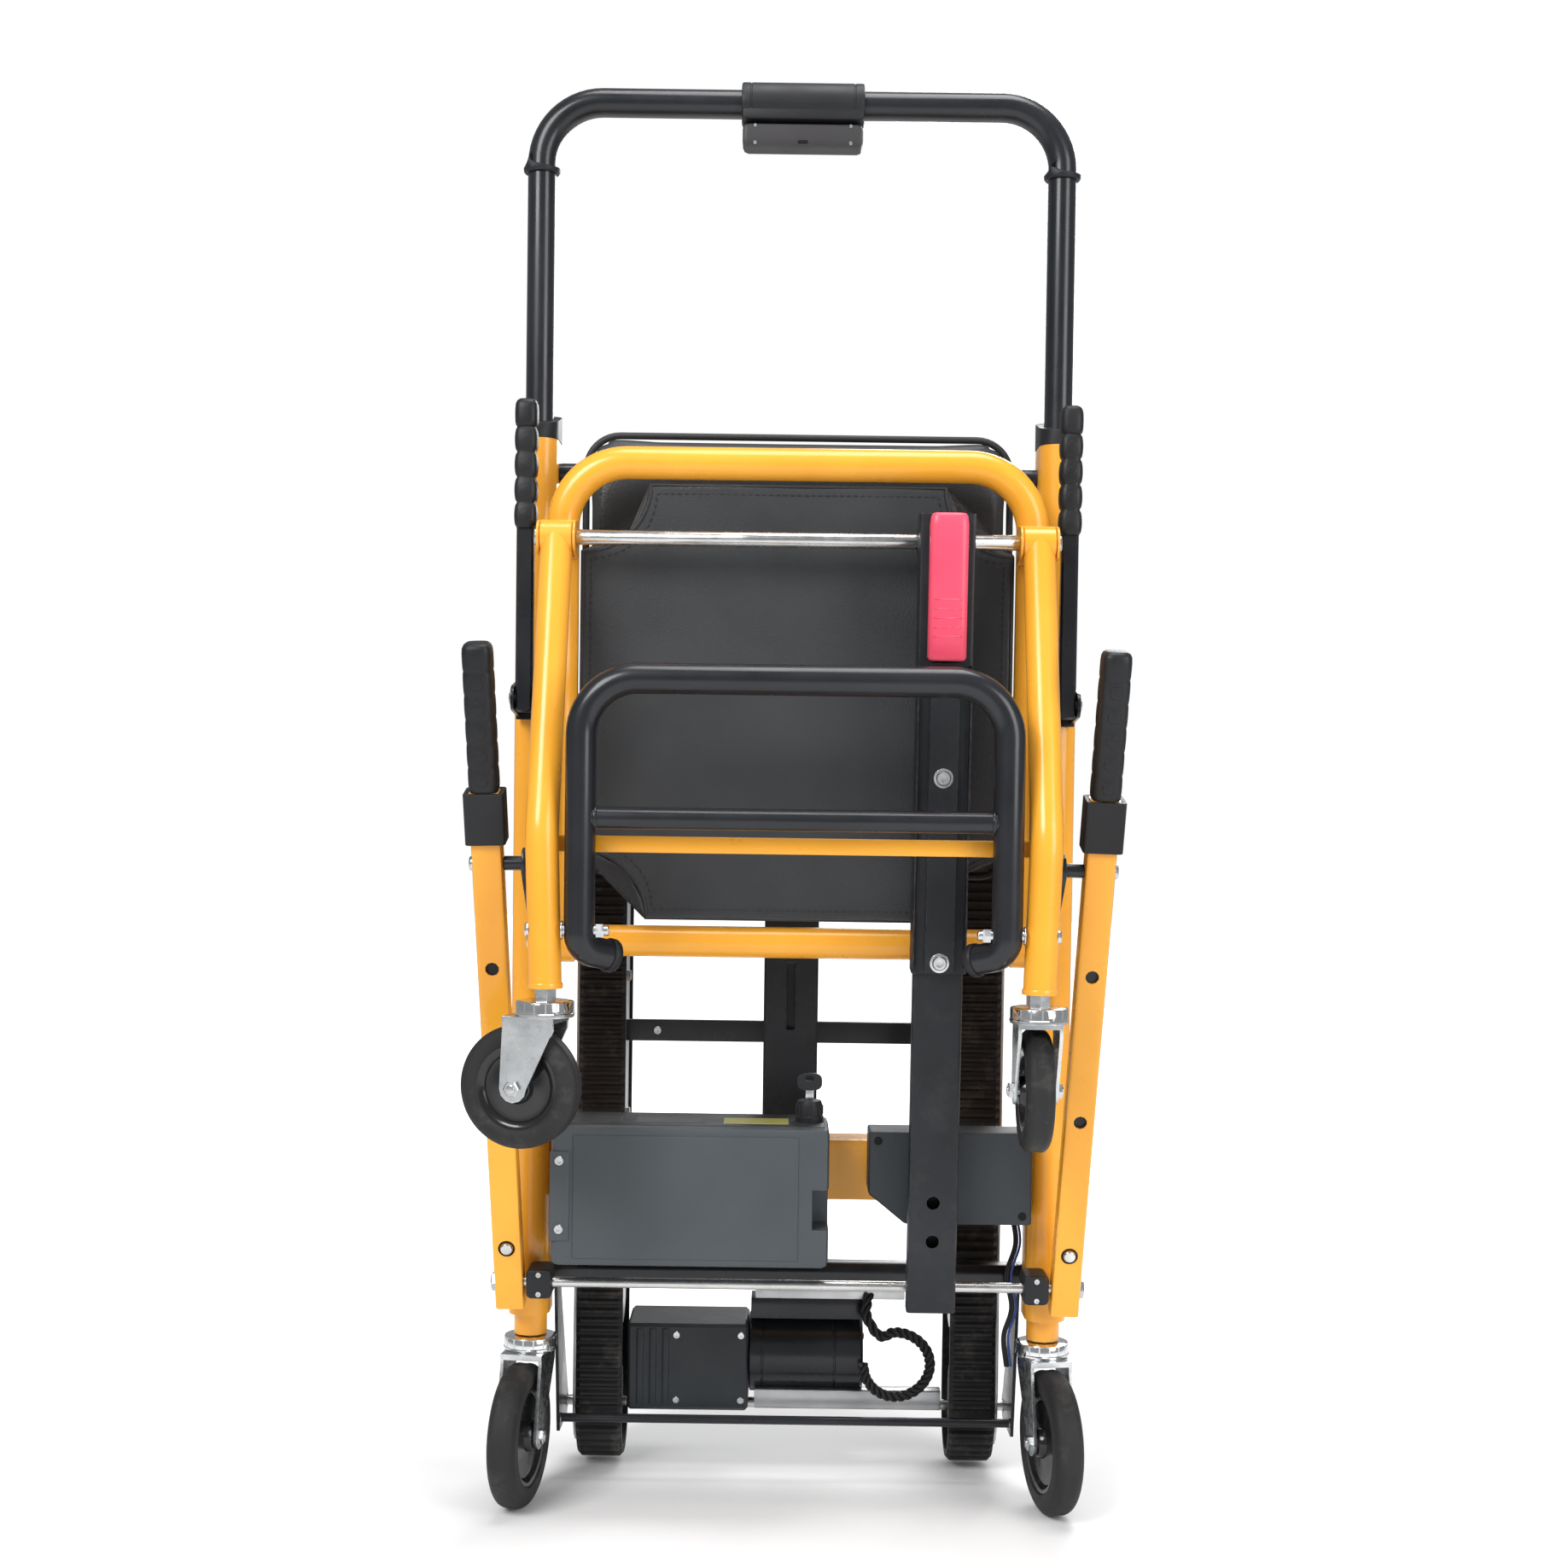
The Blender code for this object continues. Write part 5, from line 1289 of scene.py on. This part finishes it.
def seam(name, outline, middle, depth_at, radius, material, body, inset, dashed=False):
    """A bead or a row of stitches that follows an outline, drawn in from its edge."""
    xs = max(abs(p[0]) for p in outline)
    zs = max(abs(p[1]) for p in outline)
    path = []
    for x, z in outline:
        sx, sz = 1 - inset / xs, 1 - inset / zs
        path.append(Vector((middle.x + x * sx, depth_at(x * sx, z * sz), middle.z + z * sz)))
    path.append(path[0])
    if not dashed:
        obj = piece(name, sweep_mesh(name, path, radius, 10, caps=False), material, body)
        return obj
    lengths = [0.0]
    for one, two in zip(path, path[1:]):
        lengths.append(lengths[-1] + (two - one).length)

    def along(distance):
        for index in range(len(path) - 1):
            if lengths[index + 1] >= distance:
                span = max(lengths[index + 1] - lengths[index], 1e-9)
                return path[index].lerp(path[index + 1], (distance - lengths[index]) / span)
        return path[-1]

    stitch, gap = 0.0042, 0.0018
    work = bmesh.new()
    distance = 0.0
    while distance + stitch < lengths[-1]:
        start, end = along(distance), along(distance + stitch)
        heading = (end - start).normalized()
        side = heading.cross(FRONT).normalized()
        rings = []
        for t, scale in ((0.0, 0.25), (0.25, 1.0), (0.75, 1.0), (1.0, 0.25)):
            spot = start.lerp(end, t)
            ring = []
            for step in range(6):
                angle = 2 * math.pi * step / 6
                ring.append(work.verts.new(spot + radius * scale * (math.cos(angle) * side + math.sin(angle) * FRONT)))
            rings.append(ring)
        for one, two in zip(rings, rings[1:]):
            for step in range(6):
                after = (step + 1) % 6
                work.faces.new((one[step], one[after], two[after], two[step]))
        work.faces.new(list(reversed(rings[0])))
        work.faces.new(rings[-1])
        distance += stitch + gap
    bmesh.ops.recalc_face_normals(work, faces=work.faces)
    return piece(name, mesh_from(work, name), material, body)


def build_backrest():
    """A padded vinyl back, sewn round its edge, with two loops over the top bar."""
    bottom, top = low("backrest_sling"), high("backrest_sling")
    middle = (bottom + top) / 2
    width, height = top.x - bottom.x, top.z - bottom.z
    outline = rounded_panel(width - 0.004, height - 0.004, (0.030, 0.030, 0.022, 0.022), 10)
    mesh = pad_mesh("backrest", outline, middle, 0.0120, 0.0020, 12)
    back = piece("backrest_pad", mesh, VINYL, "back_frame", 0)
    cloth_swell(back, 0.0055, 2.0, 0.0035)
    back.data.materials.clear()
    back.data.materials.append(VINYL)
    back.data.shade_smooth()
    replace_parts(back, "backrest_sling")
    seam("backrest_piping", outline, middle, lambda x, z: middle.y, 0.0032, VINYL_EDGE, "back_frame",
         0.0004)
    for way in (-1, 1):
        seam("backrest_stitch_%d" % (way > 0), outline, middle, lambda x, z: middle.y + way * 0.0088,
             0.0006,
             THREAD, "back_frame", 0.014, True)
    bar = centre("backrest_bar")
    for side, label in SIDES:
        for count, x in enumerate((0.150, 0.050)):
            radius = 0.0112
            outer, inner = arc((bar.y, bar.z), radius, -60, 240, 20), arc((bar.y, bar.z), radius - 0.0016,
                                            240, -60, 20)
            mesh = flat_mesh("loop", outer + inner, 0.034, side_plane(side * x))
            piece("bar_loop_%s_%d" % (label, count), mesh, VINYL_EDGE, "back_frame")


def build_seat_sling():
    """Vinyl stretched between the seat tubes and wrapped round them, its corners cut in curves."""
    bottom, top = low("seat_sling"), high("seat_sling")
    middle = (bottom + top) / 2
    width, height = top.x - bottom.x, top.z - bottom.z
    corner = 0.058
    outline = rounded_panel(width - 0.001, height - 0.002, (-corner, -corner, -corner, -corner), 12)
    columns, rows = 72, 72
    work = bmesh.new()
    thickness, sag = 0.0024, 0.0030
    half_w, half_h = width / 2 - 0.0005, height / 2 - 0.001

    def inside(x, z):
        """Pull a grid point in where a corner is cut away."""
        dx, dz = half_w - abs(x), half_h - abs(z)
        reach = math.hypot(dx, dz)
        if reach < corner and reach > 1e-9:
            push = corner / reach
            return (math.copysign(half_w - dx * push, x), math.copysign(half_h - dz * push, z))
        if reach <= 1e-9:
            shift = corner * math.sqrt(0.5)
            return (math.copysign(half_w - shift, x), math.copysign(half_h - shift, z))
        return x, z

    grids = []
    for way in (-1, 1):
        grid = []
        for row in range(rows + 1):
            line = []
            for column in range(columns + 1):
                x = half_w * (2 * column / columns - 1)
                z = half_h * (2 * row / rows - 1)
                px, pz = inside(x, z)
                belly = sag * (1 - (px / half_w) ** 2) * (1 - (pz / half_h) ** 4)
                ripple = 0.0005 * math.sin(px * 46 + 1.3) * (pz / half_h) ** 2
                line.append(work.verts.new((middle.x + px,
                                            middle.y - 0.0004 + belly + ripple + way * thickness / 2,
                                            middle.z + pz)))
            grid.append(line)
        grids.append(grid)
    for way, grid in zip((-1, 1), grids):
        for row in range(rows):
            for column in range(columns):
                corners = (grid[row][column], grid[row][column + 1], grid[row + 1][column + 1],
                           grid[row + 1][column])
                work.faces.new(corners)
    front, back = grids
    rim = ([(0, c) for c in range(columns + 1)] + [(r, columns) for r in range(1, rows + 1)]
           + [(rows, c) for c in range(columns - 1, -1, -1)] + [(r, 0) for r in range(rows - 1, 0, -1)])
    for one, two in zip(rim, rim[1:] + rim[:1]):
        work.faces.new((front[one[0]][one[1]], front[two[0]][two[1]], back[two[0]][two[1]],
                        back[one[0]][one[1]]))
    bmesh.ops.recalc_face_normals(work, faces=work.faces)
    sling = piece("seat_panel", mesh_from(work, "sling"), VINYL, "seat", 0)
    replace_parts(sling, "seat_sling")

    def surface(x, z):
        belly = sag * (1 - (x / half_w) ** 2) * (1 - (z / half_h) ** 4)
        return middle.y - 0.0004 + belly - thickness / 2

    seam("seat_hem", outline, middle, lambda x, z: surface(x, z) + thickness / 2, 0.0021, VINYL_EDGE,
         "seat", 0.0016)
    seam("seat_stitch", outline, middle, lambda x, z: surface(x, z) - 0.0003, 0.0005, THREAD, "seat",
         0.0090, True)
    for side, label in SIDES:
        x, y = 0.200 * side, leg_hinge.y + 0.031
        start = low("seat_sling").z + corner + 0.004
        end = high("seat_sling").z - corner - 0.004
        outer = [(px, py) for px, py in arc((0, 0), 0.0156, 90, 270, 20)]
        inner = [(px, py) for px, py in arc((0, 0), 0.0141, 270, 90, 20)]
        if side < 0:
            section = outer + inner
        else:
            section = [(-px, py) for px, py in reversed(outer + inner)]
        lean = Matrix.Translation((x, y + 0.0008, 0))
        sections = [(section, start), (section, end)]
        piece("sling_wrap_" + label, loft_mesh("wrap", sections, lean), VINYL, "seat")


# Stage, light and camera

def build_stage():
    floor_material = bpy.data.materials.new("pale_floor")
    floor_material.use_nodes = True
    tree = floor_material.node_tree
    shader = tree.nodes["Principled BSDF"]
    tone = ramp_between(tree, noise(tree, 2.0), (0.90, 0.90, 0.90), (0.93, 0.93, 0.93))
    tree.links.new(tone, shader.inputs["Base Color"])
    shader.inputs["Roughness"].default_value = 0.75
    # Painted light: for camera rays the floor glows, more with distance from the middle, so the far floor that the
    # lamps barely reach shows as white as the backdrop.
    geometry = tree.nodes.new("ShaderNodeNewGeometry")
    reach = tree.nodes.new("ShaderNodeVectorMath")
    reach.operation = "LENGTH"
    tree.links.new(geometry.outputs["Position"], reach.inputs[0])
    path = tree.nodes.new("ShaderNodeLightPath")
    glow = tree.nodes.new("ShaderNodeMath")
    glow.operation = "MULTIPLY"
    tree.links.new(spread(tree, reach.outputs["Value"], 0.5, 1.5, 0.0, 1.0), glow.inputs[0])
    tree.links.new(path.outputs["Is Camera Ray"], glow.inputs[1])
    shader.inputs["Emission Color"].default_value = (1.0, 1.0, 1.0, 1.0)
    tree.links.new(glow.outputs[0], shader.inputs["Emission Strength"])
    work = bmesh.new()
    bmesh.ops.create_grid(work, x_segments=2, y_segments=2, size=9.0)
    mesh = mesh_from(work, "floor")
    mesh.materials.append(floor_material)
    floor = bpy.data.objects.new("floor", mesh)
    bpy.context.scene.collection.objects.link(floor)
    floor.location = (0, 0, cad_bounds[0][2] - 0.0002)


def area_light(name, place, target, size, power, colour=(1, 1, 1)):
    data = bpy.data.lights.new(name, "AREA")
    data.shape = "RECTANGLE"
    data.size, data.size_y = size
    data.energy = power
    data.color = colour
    lamp = bpy.data.objects.new(name, data)
    bpy.context.scene.collection.objects.link(lamp)
    lamp.location = place
    lamp.rotation_euler = (Vector(target) - Vector(place)).to_track_quat("-Z", "Y").to_euler()


def build_light():
    world = bpy.data.worlds.new("studio")
    bpy.context.scene.world = world
    world.use_nodes = True
    background = world.node_tree.nodes["Background"]
    background.inputs["Color"].default_value = (0.97, 0.98, 1.0, 1.0)
    background.inputs["Strength"].default_value = 0.35
    tree = world.node_tree
    backdrop = tree.nodes.new("ShaderNodeBackground")
    backdrop.inputs["Color"].default_value = (1.0, 1.0, 1.0, 1.0)
    path = tree.nodes.new("ShaderNodeLightPath")
    mix = tree.nodes.new("ShaderNodeMixShader")
    tree.links.new(path.outputs["Is Camera Ray"], mix.inputs[0])
    tree.links.new(background.outputs[0], mix.inputs[1])
    tree.links.new(backdrop.outputs[0], mix.inputs[2])
    tree.links.new(mix.outputs[0], tree.nodes["World Output"].inputs["Surface"])
    area_light("key_light", (-1.6, -2.4, 2.5), (0, 0, 0.6), (1.4, 1.4), 84)
    area_light("fill_light", (2.0, -2.0, 1.4), (0, 0, 0.6), (1.2, 1.8), 40)
    area_light("top_light", (0.2, -0.3, 3.0), (0, 0, 0.6), (1.6, 1.2), 44)
    area_light("back_light", (0.8, 2.6, 1.9), (0, 0, 0.6), (1.4, 1.4), 44)


def build_camera():
    """A studio view from the front, tipped slightly down and rolled a little."""
    data = bpy.data.cameras.new("camera")
    data.sensor_width = 36.0
    data.lens = 48.99
    data.shift_x = 0.00087
    data.shift_y = 0.04877
    camera = bpy.data.objects.new("camera", data)
    bpy.context.scene.collection.objects.link(camera)
    camera.location = (-0.0092, upright_y - 1.9047, 0.6323)
    look = Matrix.Rotation(math.radians(90 - 1.765), 4, "X") @ Matrix.Rotation(math.radians(0.777), 4, "Z")
    camera.rotation_euler = look.to_euler()
    bpy.context.scene.camera = camera


build_back_frame()
build_casters()
build_handle()
build_armrests()
build_lift_arms()
build_seat_frame()
build_legs()
build_footrest()
build_brace()
build_tracks()
build_drive()
build_boxes()
build_cables()
build_backrest()
build_seat_sling()
build_stage()
build_light()
build_camera()
bpy.context.scene.view_settings.view_transform = "Standard"
